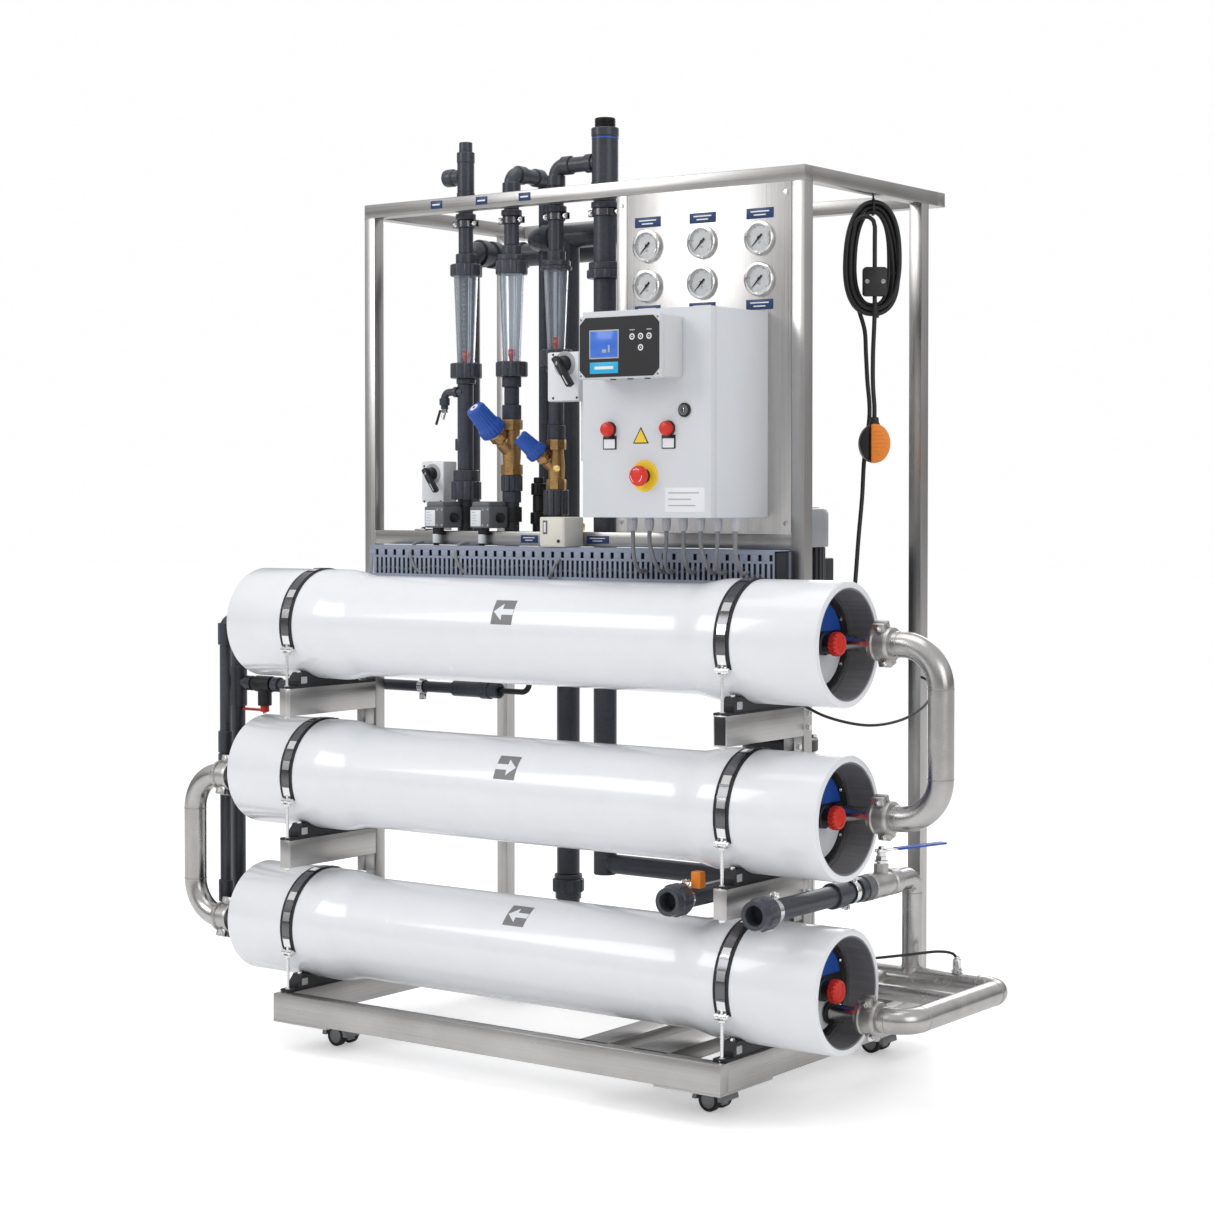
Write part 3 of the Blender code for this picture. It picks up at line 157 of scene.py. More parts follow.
STEEL = {"x": brushed("brushed_steel_x", (3, 500, 500)), "y": brushed("brushed_steel_y", (500, 3, 500)),
    "z": brushed("brushed_steel_z", (500, 500, 3))}
PICKLED = finish("pickled_steel", (0.52, 0.51, 0.5), 0.26, 1.0, (28, 28, 28), 0.05, 0.06, 0.08,
    tint=(0.46, 0.45, 0.44))
WELD = finish("weld_seam", (0.42, 0.39, 0.36), 0.38, 1.0, (500, 500, 500), 0.25, bump=0.8)
CAST = finish("cast_steel", (0.5, 0.49, 0.47), 0.38, 1.0, (400, 400, 400), 0.14, bump=0.6)
STRAP = finish("strap_steel", (0.16, 0.16, 0.17), 0.22, 1.0, (300, 300, 300), 0.12, 0.08, 0.2)
CHROME = finish("polished_steel", (0.8, 0.8, 0.8), 0.12, 1.0, (200, 200, 200), 0.04, 0.05, 0.1)
WHITE = finish("vessel_white", (0.8, 0.815, 0.845), 0.26, 0.0, (25, 25, 25), 0.015, 0.03, 0.12,
    relief=0.0006, coat=0.6)
LINER = finish("bore_grey", (0.2, 0.2, 0.21), 0.5, 0.0, (6, 160, 160), 0.18, bump=0.4)
BLACK = finish("black_plastic", (0.012, 0.012, 0.014), 0.42, 0.0, (900, 900, 900), 0.2, bump=0.3)
RUBBER = finish("black_rubber", (0.016, 0.016, 0.018), 0.62, 0.0, (700, 700, 700), 0.25, bump=0.5)
CABLE = finish("cable_rubber", (0.018, 0.018, 0.02), 0.48, 0.0, (500, 500, 500), 0.25, bump=0.4)
PVC = finish("pvc_dark_grey", (0.052, 0.058, 0.072), 0.3, 0.0, (200, 200, 200), 0.14, 0.06, 0.15,
    tint=(0.042, 0.047, 0.06))
BLUE_MARK = finish("blue_mark", (0.03, 0.12, 0.55), 0.4, 0.0, (300, 300, 300), 0.08)
BLUE = finish("blue_plastic", (0.015, 0.085, 0.42), 0.36, 0.0, (600, 600, 600), 0.1, bump=0.25)
RED = finish("red_plastic", (0.66, 0.03, 0.018), 0.34, 0.0, (500, 500, 500), 0.1, bump=0.2)
ORANGE = finish("orange_plastic", (0.85, 0.25, 0.02), 0.42, 0.0, (700, 700, 700), 0.08, bump=0.3)
YELLOW = finish("yellow_plate", (0.9, 0.62, 0.03), 0.4, 0.0, (300, 300, 300), 0.05)
CABINET = finish("powder_coat", (0.66, 0.68, 0.71), 0.42, 0.0, (1400, 1400, 1400), 0.03, 0.05, 0.5,
    relief=0.0002)
MOULDED = finish("moulded_grey", (0.62, 0.63, 0.64), 0.45, 0.0, (900, 900, 900), 0.04, bump=0.3)
SENSOR = finish("sensor_grey", (0.13, 0.135, 0.145), 0.45, 0.0, (800, 800, 800), 0.08, bump=0.35)
LABEL = finish("plate_blue", (0.018, 0.045, 0.14), 0.35, 0.0, (200, 200, 200), 0.08)
PRINT = finish("print_white", (0.8, 0.82, 0.84), 0.45, 0.0, (300, 300, 300), 0.03)
PRINT_GREY = finish("print_grey", (0.42, 0.43, 0.45), 0.45, 0.0, (300, 300, 300), 0.05)
ARROW = finish("arrow_grey", (0.2, 0.2, 0.21), 0.45, 0.0, (300, 300, 300), 0.05)
PAPER = finish("sticker_white", (0.78, 0.8, 0.83), 0.4, 0.0, (400, 400, 400), 0.02)
DIAL = finish("dial_white", (0.86, 0.86, 0.84), 0.45, 0.0, (200, 200, 200), 0.02)
DUCT = finish("duct_blue_grey", (0.3, 0.34, 0.43), 0.5, 0.0, (500, 500, 500), 0.07, bump=0.25)
# Near-black painted shade: it stands in for the shade inside the wiring duct, the open outlet sockets, the
# cabinet duct's slots and the terminal holes.
DARK = finish("painted_shade_inside", (0.03, 0.032, 0.04), 0.8, 0.0, (90, 90, 90), 0.2)
BRONZE = finish("cast_bronze", (0.5, 0.31, 0.13), 0.42, 1.0, (300, 300, 300), 0.2, bump=0.7,
    tint=(0.38, 0.22, 0.09))
BRASS = finish("turned_brass", (0.8, 0.58, 0.22), 0.22, 1.0, (300, 300, 300), 0.08)
GLANDS = finish("gland_grey", (0.5, 0.51, 0.54), 0.45, 0.0, (700, 700, 700), 0.06, bump=0.2)
CABLE_GREY = finish("cable_grey", (0.24, 0.245, 0.25), 0.5, 0.0, (400, 400, 400), 0.12, bump=0.3)
PUMP = finish("pump_black", (0.02, 0.021, 0.024), 0.38, 0.0, (700, 700, 700), 0.25, bump=0.5)
COWL = finish("cowl_grey", (0.36, 0.37, 0.39), 0.36, 0.3, (500, 500, 500), 0.08, bump=0.3)
SCREEN = finish("screen_blue", (0.05, 0.15, 0.55), 0.15, 0.0, (60, 60, 60), 0.1, emission=0.25)
CYAN = finish("strip_cyan", (0.02, 0.42, 0.7), 0.35, 0.0, (300, 300, 300), 0.05)
CREAM = finish("cream_plastic", (0.74, 0.72, 0.64), 0.42, 0.0, (700, 700, 700), 0.04, bump=0.3)
HOOD = finish("caster_grey", (0.22, 0.225, 0.235), 0.45, 0.0, (800, 800, 800), 0.08, bump=0.4)
MEMBRANE = finish("membrane_wrap", (0.72, 0.73, 0.71), 0.5, 0.0, (40, 200, 200), 0.06, bump=0.4)
CLEAR = finish("clear_tube", (0.9, 0.94, 1.0), 0.06, 0.0, (60, 60, 8), 0.03, 0.03, 0.25, transmission=0.94,
    ior=1.16)
GLASS = finish("gauge_glass", (0.97, 0.98, 1.0), 0.03, 0.0, (40, 40, 40), 0.01, 0.01, 0.05, transmission=1.0,
    ior=1.2)


# ---------------------------------------------------------------- modelling helpers

def facing(centre, direction):
    """The matrix that puts a shape drawn along +Z at centre, looking along direction."""
    turn = Vector(direction).to_track_quat("Z", "Y").to_matrix().to_4x4()
    return Matrix.Translation(Vector(centre)) @ turn


def evenly(count, first):
    """The angles of count places around an axis, from the first one in degrees."""
    return [math.radians(first + 360 * step / count) for step in range(count)]


def circle(radius, height, sides, flutes=0, depth=0.0):
    """A ring of points; flutes of the given depth are cut into it where they are asked for."""
    if radius < 1e-6:
        return [Vector((0, 0, height))]
    points = []
    for step in range(sides):
        angle = 2 * math.pi * step / sides
        wave = max(0.0, math.cos(angle * flutes)) ** 0.5 if flutes else 0.0
        reach = radius - depth * wave
        points.append(Vector((reach * math.cos(angle), reach * math.sin(angle), height)))
    return points


def arc_path(corners, bend, steps=10):
    """The corners of a path with each inner one replaced by an arc of radius bend."""
    corners = [Vector(c) for c in corners]
    path = [corners[0]]
    for before, corner, after in zip(corners, corners[1:], corners[2:]):
        into = (before - corner).normalized()
        out = (after - corner).normalized()
        half = into.angle(out) / 2
        centre = corner + (into + out).normalized() * (bend / math.sin(half))
        first = (corner + into * (bend / math.tan(half)) - centre).normalized()
        last = (corner + out * (bend / math.tan(half)) - centre).normalized()
        path += [centre + first.slerp(last, step / steps) * bend for step in range(steps + 1)]
    path.append(corners[-1])
    return path


def smooth_route(points, spacing):
    """Points about spacing apart on a Catmull-Rom curve through the route's own points."""
    route = [Vector(p) for p in points]
    ends = [route[0] * 2 - route[1], *route, route[-1] * 2 - route[-2]]
    found = []
    for index in range(len(route) - 1):
        a, b, c, d = ends[index:index + 4]
        count = max(1, round((c - b).length / spacing))
        for step in range(count):
            t = step / count
            square = 2 * a - 5 * b + 4 * c - d
            cube = 3 * b - a - 3 * c + d
            found.append((2 * b + (c - a) * t + square * t**2 + cube * t**3) / 2)
    found.append(route[-1])
    return found


class Piece:
    """One visible object, gathered from closed shapes that each have their own finish."""

    def __init__(self, name):
        self.name = name
        self.bm = bmesh.new()
        self.finishes = []

    def absorb(self, shape, material, place=None):
        """Take a finished little bmesh in, with the material on all its faces."""
        if material not in self.finishes:
            self.finishes.append(material)
        bmesh.ops.recalc_face_normals(shape, faces=shape.faces)
        for face in shape.faces:
            face.material_index = self.finishes.index(material)
        mesh = bpy.data.meshes.new("shape")
        shape.to_mesh(mesh)
        shape.free()
        if place is not None:
            mesh.transform(place)
        self.bm.from_mesh(mesh)
        bpy.data.meshes.remove(mesh)

    def box(self, low, high, material, edge=0.0008, place=None):
        low, high = Vector(low), Vector(high)
        shape = bmesh.new()
        matrix = Matrix.Translation((low + high) / 2) @ Matrix.Diagonal((*(high - low), 1.0))
        bmesh.ops.create_cube(shape, size=1.0, matrix=matrix)
        edge = min(edge, 0.45 * min(high - low))
        if edge > 0:
            bmesh.ops.bevel(shape, geom=shape.edges, offset=edge, segments=2, profile=0.5, affect="EDGES")
        self.absorb(shape, material, place)

    def loft(self, rings, material, place=None, caps=True, closed=False):
        """Skin a row of rings; a ring of one point is a pole."""
        shape = bmesh.new()
        rows = [[shape.verts.new(point) for point in ring] for ring in rings]
        pairs = list(zip(rows, rows[1:]))
        if closed:
            pairs.append((rows[-1], rows[0]))
        for low, high in pairs:
            count = max(len(low), len(high))
            for step in range(count):
                after = (step + 1) % count
                if len(low) == 1:
                    shape.faces.new((low[0], high[step], high[after]))
                elif len(high) == 1:
                    shape.faces.new((low[step], high[0], low[after]))
                else:
                    shape.faces.new((low[step], high[step], high[after], low[after]))
        if caps and not closed:
            for ring in (rows[0], rows[-1]):
                if len(ring) > 2:
                    shape.faces.new(ring)
        self.absorb(shape, material, place)

    def turned(self, profile, centre, direction, material, sides=40, flutes=0, depth=0.0, closed=False):
        """A turned shape from (radius, height) pairs; flutes are cut where a pair has a third value."""
        rings = [circle(p[0], p[1], sides, flutes, depth if len(p) > 2 else 0.0) for p in profile]
        self.loft(rings, material, facing(centre, direction), closed=closed)

    def rod(self, start, end, radius, material, sides=32, end_radius=None, edge=0.0006):
        start, end = Vector(start), Vector(end)
        length = (end - start).length
        last = radius if end_radius is None else end_radius
        edge = min(edge, length / 3, radius / 3, last / 3)
        profile = [(0, 0), (radius - edge, 0), (radius, edge), (last, length - edge), (last - edge, length)]
        self.turned([*profile, (0, length)], start, end - start, material, sides)

    def ring(self, centre, direction, inner, outer, low, high, material, sides=48, edge=0.0006):
        """A flat ring, or a short tube, between two heights along direction."""
        profile = [(inner, low), (outer - edge, low), (outer, low + edge), (outer, high - edge),
            (outer - edge, high), (inner, high)]
        self.turned(profile, centre, direction, material, sides, closed=True)

    def tube(self, path, radius, material, sides=24):
        """A round bar along a path; its rings don't twist."""
        path = [Vector(p) for p in path]
        before = (path[1] - path[0]).normalized()
        side = before.orthogonal().normalized()
        rings = []
        for index, point in enumerate(path):
            ahead = (path[min(index + 1, len(path) - 1)] - path[max(index - 1, 0)]).normalized()
            side = (before.rotation_difference(ahead) @ side).normalized()
            before = ahead
            across = ahead.cross(side)
            angles = [2 * math.pi * step / sides for step in range(sides)]
            rings.append([point + (side * math.cos(a) + across * math.sin(a)) * radius for a in angles])
        self.loft(rings, material)

    def prism(self, outline, thickness, place, material, edge=0.0):
        """A flat outline drawn in X and Y, thickened along Z and then placed."""
        shape = bmesh.new()
        low = [shape.verts.new((x, y, 0.0)) for x, y in outline]
        high = [shape.verts.new((x, y, thickness)) for x, y in outline]
        shape.faces.new(low)
        shape.faces.new(high)
        for step in range(len(outline)):
            after = (step + 1) % len(outline)
            shape.faces.new((low[step], low[after], high[after], high[step]))
        if edge:
            bmesh.ops.recalc_face_normals(shape, faces=shape.faces)
            bmesh.ops.bevel(shape, geom=shape.edges, offset=edge, segments=2, profile=0.5, affect="EDGES")
        self.absorb(shape, material, place)

    def bolt(self, centre, direction, size, material=None):
        """A hexagon head on a washer."""
        metal = material or CHROME
        self.turned([(0, 0), (size * 1.15, 0), (size * 1.15, size * 0.2), (0, size * 0.2)], centre,
            direction, metal, 24)
        head = [(0, size * 0.2), (size * 0.9, size * 0.2), (size, size * 0.3), (size, size * 0.8),
            (size * 0.85, size * 0.95), (0, size * 0.95)]
        self.turned(head, centre, direction, metal, 6)

    def done(self, body="frame", replaces=()):
        """Make the object, move it to its place and let it ride on its body."""
        mesh = bpy.data.meshes.new(self.name)
        self.bm.to_mesh(mesh)
        self.bm.free()
        mesh.transform(Matrix.Translation(ORIGIN))
        mesh.shade_smooth()
        mesh.set_sharp_from_angle(angle=SHARP_EDGE)
        for material in self.finishes:
            mesh.materials.append(material)
        made = bpy.data.objects.new(self.name, mesh)
        bpy.context.scene.collection.objects.link(made)
        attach(made, body)
        if replaces:
            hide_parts(*replaces)
        return made


def upright(centre):
    """A plane that faces the front: X to the right, Y up, thickness towards the front."""
    return Matrix.Translation(Vector(centre)) @ Matrix.Rotation(math.radians(90), 4, "X")


def rounded(width, height, radius, steps=5):
    """A rectangle about its centre with round corners."""
    points = []
    corners = ((1, 1), (-1, 1), (-1, -1), (1, -1))
    for quarter, (sx, sy) in enumerate(corners):
        for step in range(steps + 1):
            angle = math.pi / 2 * (quarter + step / steps)
            points.append((sx * (width / 2 - radius) + radius * math.cos(angle),
                sy * (height / 2 - radius) + radius * math.sin(angle)))
    return points


# ---------------------------------------------------------------- camera, stage and light

def camera_and_light():
    data = bpy.data.cameras.new("camera")
    data.lens = 72.56
    data.sensor_width = 36
    data.shift_x = 0.0005
    data.shift_y = -0.0417
    data.clip_end = 100
    camera = bpy.data.objects.new("camera", data)
    camera.location = ORIGIN + Vector((2.2767, -3.8739, 1.1548))
    camera.rotation_euler = (math.radians(90 - 1.31), 0, math.radians(36.1))
    bpy.context.scene.collection.objects.link(camera)
    bpy.context.scene.camera = camera
    bpy.context.scene.view_settings.view_transform = "Standard"

    floor_mesh = bpy.data.meshes.new("floor")
    shape = bmesh.new()
    bmesh.ops.create_grid(shape, x_segments=4, y_segments=4, size=30)
    shape.to_mesh(floor_mesh)
    shape.free()
    floor = bpy.data.objects.new("floor", floor_mesh)
    floor.location.z = -0.0005
    floor_white = finish("floor_white", (0.9, 0.9, 0.9), 0.55, 0.0, (3, 3, 3), 0.01, emission=0.3)
    floor_nodes = floor_white.node_tree.nodes
    seen = floor_nodes.new("ShaderNodeLightPath")
    glow = floor_nodes.new("ShaderNodeMapRange")
    glow.inputs["To Min"].default_value = 0.08
    glow.inputs["To Max"].default_value = 0.4
    floor_links = floor_white.node_tree.links
    floor_links.new(seen.outputs["Is Camera Ray"], glow.inputs["Value"])
    floor_links.new(glow.outputs["Result"], floor_nodes["Principled BSDF"].inputs["Emission Strength"])
    floor_mesh.materials.append(floor_white)
    bpy.context.scene.collection.objects.link(floor)

    world = bpy.data.worlds.new("studio")
    world.use_nodes = True
    bpy.context.scene.world = world
    nodes = world.node_tree.nodes
    links = world.node_tree.links
    sky = nodes["Background"]
    coordinates = nodes.new("ShaderNodeTexCoord")
    split = nodes.new("ShaderNodeSeparateXYZ")
    links.new(coordinates.outputs["Generated"], split.inputs["Vector"])
    ramp = nodes.new("ShaderNodeValToRGB")
    stops = ((0.0, 0.8), (0.43, 0.72), (0.5, 0.26), (0.57, 0.45), (0.72, 1.0), (1.0, 1.0))
    elements = ramp.color_ramp.elements
    while len(elements) < len(stops):
        elements.new(0.5)
    for element, (place, value) in zip(elements, stops):
        element.position = place
        element.color = (value, value, value * 1.01, 1)
    lift = nodes.new("ShaderNodeMapRange")
    lift.inputs["From Min"].default_value = -1.0
    links.new(split.outputs["Z"], lift.inputs["Value"])
    links.new(lift.outputs["Result"], ramp.inputs["Fac"])
    links.new(ramp.outputs["Color"], sky.inputs["Color"])
    sky.inputs["Strength"].default_value = 0.78
    plain = nodes.new("ShaderNodeBackground")
    plain.inputs["Color"].default_value = (0.995, 0.995, 0.995, 1)
    plain.inputs["Strength"].default_value = 1.0
    path = nodes.new("ShaderNodeLightPath")
    choose = nodes.new("ShaderNodeMixShader")
    links.new(path.outputs["Is Camera Ray"], choose.inputs["Fac"])
    links.new(sky.outputs["Background"], choose.inputs[1])
    links.new(plain.outputs["Background"], choose.inputs[2])
    links.new(choose.outputs["Shader"], nodes["World Output"].inputs["Surface"])

    target = Vector((0, 0, 0.9))
    lights = (("key", (-2.6, -4.2, 3.4), 2.2, 62), ("fill", (4.2, -1.6, 2.2), 2.4, 30),
        ("top", (0.0, -0.4, 4.6), 3.0, 42), ("back", (-1.0, 4.6, 2.8), 2.6, 40))
    for name, place, size, power in lights:
        lamp = bpy.data.lights.new(name, "AREA")
        lamp.size = size
        lamp.energy = power
        light = bpy.data.objects.new(name, lamp)
        light.location = place
        light.rotation_euler = (target - Vector(place)).to_track_quat("-Z", "Y").to_euler()
        bpy.context.scene.collection.objects.link(light)


# ---------------------------------------------------------------- the free cable

HANK_CENTRE = Vector((-0.215, 0.46, 1.645))
HANK_ACROSS = Vector((math.cos(math.radians(36)), math.sin(math.radians(36)), 0.0))
HANK_FRONT = Vector((math.sin(math.radians(36)), -math.cos(math.radians(36)), 0.0))
HANK_HALF = 0.0463
HANK_RISE = 0.1037
HANK_ROUNDNESS = 2.35
HANK_TAPER = 0.1
CABLE_DIAMETER = 0.009
GLAND = Vector((-0.202, FACE + TUBE, 0.93))
DROP_OUT = 0.032
FLOAT_TOP = 1.323


def hank_point(across, out, height):
    return HANK_CENTRE + HANK_ACROSS * across + HANK_FRONT * out + Z_AXIS * (height - HANK_CENTRE.z)


def loop_point(share, offset, depth):
    """A point on one turn: share runs clockwise from the bottom, offset is outward."""
    angle = 2 * math.pi * share
    power = 2 / HANK_ROUNDNESS
    across = math.copysign(abs(math.sin(angle)) ** power, -math.sin(angle))
    rise = math.copysign(abs(math.cos(angle)) ** power, -math.cos(angle))
    outward = Vector((math.copysign(abs(across) ** (HANK_ROUNDNESS - 1), across) / HANK_HALF,
        math.copysign(abs(rise) ** (HANK_ROUNDNESS - 1), rise) / HANK_RISE)).normalized()
    x = HANK_HALF * across * (1 - HANK_TAPER * rise) + outward.x * offset
    z = HANK_RISE * rise + outward.y * offset
    return hank_point(x, depth, HANK_CENTRE.z + z)


def float_cable():
    """The float switch's cable: lead, hank and drop are one 5 m cable."""
    pitch = 0.0092
    slots = [(1, -1), (0, -1), (-1, -1), (-1, 0), (0, 0), (1, 0), (1, 1), (0, 1)]
    slots = [(column * pitch, layer * pitch) for column, layer in slots]
    lead = [GLAND + Y_AXIS * 0.0223, GLAND + Y_AXIS * 0.045, (-0.203, 0.262, 0.917), (-0.206, 0.3, 0.893),
        (-0.212, 0.342, 0.885), (-0.22, 0.378, 0.902), (-0.226, 0.402, 0.942), (-0.2294, 0.4175, 0.996),
        (-0.2298, 0.43, 1.08), (-0.23, 0.444, 1.16), (-0.2285, 0.45, 1.24),
        hank_point(-0.006, -0.004, 1.33), hank_point(-0.01, -0.01, 1.4),
        hank_point(-0.0125, -0.014, 1.455), hank_point(-0.015, -0.015, 1.5)]
    start = 0.06
    turns = 7.27
    path = smooth_route([*lead, loop_point(start, *slots[0])], 0.012)[:-1]
    count = round(turns * 60)
    for step in range(count + 1):
        share = start + turns * step / count
        turn = int(share)
        part = share - turn
        ease = min(1.0, max(0.0, (part - 0.62) / 0.36))
        ease = ease * ease * (3 - 2 * ease)
        here = slots[min(turn, len(slots) - 1)]
        after = slots[min(turn + 1, len(slots) - 1)]
        offset = here[0] + (after[0] - here[0]) * ease
        depth = here[1] + (after[1] - here[1]) * ease
        if here[0] == after[0]:
            offset -= 0.0046 * math.sin(math.pi * ease)
        path.append(loop_point(share, offset, depth))
    drop = [path[-1], hank_point(-0.0364, 0.0125, 1.7178), hank_point(-0.0293, 0.0165, 1.7249),
        hank_point(-0.0195, 0.0215, 1.7275), hank_point(-0.0098, 0.0265, 1.7249),
        hank_point(-0.0026, 0.03, 1.7178), hank_point(0.0, 0.0317, 1.706),
        hank_point(0.0, DROP_OUT, 1.685), hank_point(0.0, DROP_OUT, 1.64), hank_point(0.0, DROP_OUT, 1.595),
        hank_point(0.0, DROP_OUT, 1.53), hank_point(-0.003, DROP_OUT, 1.45),
        hank_point(-0.003, DROP_OUT, 1.39), hank_point(0.0, DROP_OUT, 1.345),
        hank_point(0.0, DROP_OUT, FLOAT_TOP + 0.0003)]
    path += smooth_route(drop, 0.01)[1:]
    path = [point + ORIGIN for point in path]
    curve = bpy.data.curves.new("float_cable", "CURVE")
    curve.dimensions = "3D"
    curve.bevel_depth = CABLE_DIAMETER / 2
    curve.bevel_resolution = 4
    curve.use_fill_caps = True
    spline = curve.splines.new("POLY")
    spline.points.add(len(path) - 1)
    for point, place in zip(spline.points, path):
        point.co = (*place, 1.0)
    spline.use_smooth = True
    curve.materials.append(CABLE)
    cable = bpy.data.objects.new("float_cable", curve)
    bpy.context.scene.collection.objects.link(cable)
    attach(cable, "frame")
    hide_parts("float_cable_lead", "float_cable_hank", "float_cable_drop")

    weight = Piece("float_counterweight_block")
    turn = Matrix((HANK_ACROSS, Z_AXIS, HANK_FRONT)).transposed().to_4x4()

    def plane(out, height):
        return Matrix.Translation(hank_point(0.0, out, height)) @ turn

    weight.prism(rounded(0.048, 0.058, 0.006), 0.011 - 0.0005, plane(DROP_OUT - 0.011, 1.595), BLACK, 0.0012)
    weight.prism(rounded(0.048, 0.058, 0.006), 0.011 - 0.0005, plane(DROP_OUT + 0.0005, 1.595), BLACK, 0.0012)
    for side in (-0.016, 0.016):
        weight.bolt(hank_point(side, DROP_OUT + 0.0105, 1.595), HANK_FRONT, 0.004)
    block = weight.done("frame", ["float_counterweight"])

    switch = Piece("float_switch_body")
    middle = (1.23 + FLOAT_TOP - 0.014) / 2
    seam = -0.009
    gap = 0.0005
    right_part = math.acos((seam + gap) / 0.031)
    left_part = math.pi - math.acos((seam - gap) / 0.031)
    for middle_angle, reach, material in ((0.0, right_part, ORANGE), (math.pi, left_part, BLACK)):
        outline = []
        for step in range(25):
            angle = middle_angle + reach * (step / 12 - 1)
            outline.append((0.031 * math.cos(angle), 0.0395 * math.sin(angle)))
        switch.prism(outline, 0.036, plane(DROP_OUT - 0.018, middle), material, 0.0035)
    for height in range(7):
        z = middle - 0.024 + height * 0.008
        width = 0.026 * math.cos((height - 3) / 3 * 1.0)
        switch.box((-0.003, -0.0007, 0.0178), (width - 0.003, 0.0007, 0.019), ORANGE, 0.0003,
            plane(DROP_OUT, z))
    neck = [(0, 0), (0.012, 0), (0.012, 0.008), (0.0095, 0.012), (0.0085, 0.0225), (0.0062, 0.0235),
        (0, 0.0235)]
    switch.turned(neck, hank_point(0.0, DROP_OUT, 1.2995), Z_AXIS, BLACK, 28)
    body = switch.done("frame", ["float_switch"])

    ties = Piece("float_cable_ties")
    for share in (0.5, 0.985):
        centre = loop_point(share, 0.0, 0.0)
        heading = (loop_point(share + 0.01, 0.0, 0.0) - centre).normalized()
        outward = (loop_point(share, 0.01, 0.0) - centre).normalized()
        corners = []
        for step in range(28):
            angle = 2 * math.pi * step / 28
            reach = abs(math.cos(angle)) ** 0.55
            deep = abs(math.sin(angle)) ** 0.55
            corners.append(centre + outward * math.copysign(0.0163 * reach,
                math.cos(angle)) + HANK_FRONT * math.copysign(0.0163 * deep, math.sin(angle)))
        rings = []
        for shift, grow in ((-0.002, 1.0), (-0.002, 1.07), (0.002, 1.07), (0.002, 1.0)):
            rings.append([centre + (corner - centre) * grow + heading * shift for corner in corners])
        ties.loft(rings, BLACK, closed=True)
    for side in (-1, 1):
        foot = loop_point(0.5, 0.017, 0.0) + HANK_FRONT * side * 0.004
        ties.tube([foot, foot + Z_AXIS * 0.0045, Vector((foot.x, foot.y, TOP - TUBE - 0.0004))], 0.0018,
            BLACK, 12)
    tie = ties.done("frame")


# ---------------------------------------------------------------- vessels and their ends

def paint(node, material):
    """Give a CAD node that stays in sight its finish."""
    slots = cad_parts[node].data.materials
    slots.clear()
    slots.append(material)


def wrapped(piece, height, left, rows, lift, material):
    """A thin sticker round a barrel: rows of (rise along the skin, start, end)."""
    for (low, low_start, low_end), (high, high_start, high_end) in zip(rows, rows[1:]):
        rings = []
        steps = max(1, round((high - low) / 0.004))
        for step in range(steps + 1):
            share = step / steps
            rise = low + (high - low) * share
            angle = rise / BARREL
            ring = []
            spans = ((low_start, high_start, 0), (low_end, high_end, 1))
            for first, last, side in spans:
                x = left + first + (last - first) * share
                reaches = (BARREL - 0.0006, BARREL + lift)
                for reach in (reaches if side == 0 else reversed(reaches)):
                    ring.append(Vector((x, -reach * math.cos(angle), height + reach * math.sin(angle))))
            rings.append(ring)
        piece.loft(rings, material)


def flow_arrow(piece, height, centre, rise, way):
    """A grey plate with a white arrow, wrapped on the front of a vessel."""
    half = 0.026
    tall = 0.026
    plate = [(rise - tall, -half, half), (rise + tall, -half, half)]
    wrapped(piece, height, centre, plate, 0.0003, ARROW)
    head = -half + 0.003
    neck = -half + 0.024
    shaft = [(rise - 0.006, neck, half - 0.0005), (rise + 0.006, neck, half - 0.0005)]
    point = [(rise - 0.017, neck - 0.0005, neck), (rise, head, neck), (rise + 0.017, neck - 0.0005, neck)]
    for rows in (shaft, point):
        turned_rows = []
        for row_rise, start, end in rows:
            pair = sorted((-way * start, -way * end))
            turned_rows.append((row_rise, *pair))
        wrapped(piece, height, centre, turned_rows, 0.0006, PAPER)


ARROWS = {"top": (-0.73, 0.935, -1), "middle": (-0.7267, 0.6275, 1), "bottom": (-0.7157, 0.332, -1)}


def vessel(name):
    """A glossy wound tube with a thick bell at each end and a dark bore."""
    height = VESSELS[name]
    steps = 14
    half = [(BELL - 0.0045, 0.0), (BELL - 0.0013, -0.0013), (BELL, -0.0045)]
    for step in range(steps + 1):
        share = step / steps
        blend = (1 + math.cos(math.pi * share)) / 2
        half.append((BARREL + (BELL - BARREL) * blend, -0.245 - 0.085 * share))
    other = [(radius, -VESSEL_LENGTH - along) for radius, along in reversed(half)]
    skin = BORE + 0.003
    profile = [(skin, 0.0), *half, *other, (skin, -VESSEL_LENGTH)]
    shell = Piece(f"vessel_shell_{name}")
    shell.turned(profile, (0, 0, height), X_AXIS, WHITE, 96, closed=True)
    shell.ring((0, 0, height), X_AXIS, BORE, skin + 0.0005, 0.0015 - VESSEL_LENGTH, -0.0015, LINER, 96)
    centre, arrow_height, way = ARROWS[name]
    rise = BARREL * math.asin((arrow_height - height) / BARREL)
    flow_arrow(shell, height, centre, rise, way)
    shell.done("frame", [f"vessel_{name}"])


def segment(radius, cut, upper):
    """The part of a disc above or below a level, as an outline."""
    limit = math.asin(cut / radius)
    start, end = (limit, math.pi - limit) if upper else (math.pi + limit, 2 * math.pi - limit)
    angles = [start + (end - start) * step / 24 for step in range(25)]
    return [(radius * math.cos(a), radius * math.sin(a)) for a in angles]


PORTS = {"top": (PORT, 0.0, 0.0397), "middle": (PORT, 0.0, 0.0397), "bottom": (0.033, -0.048, 0.0297)}


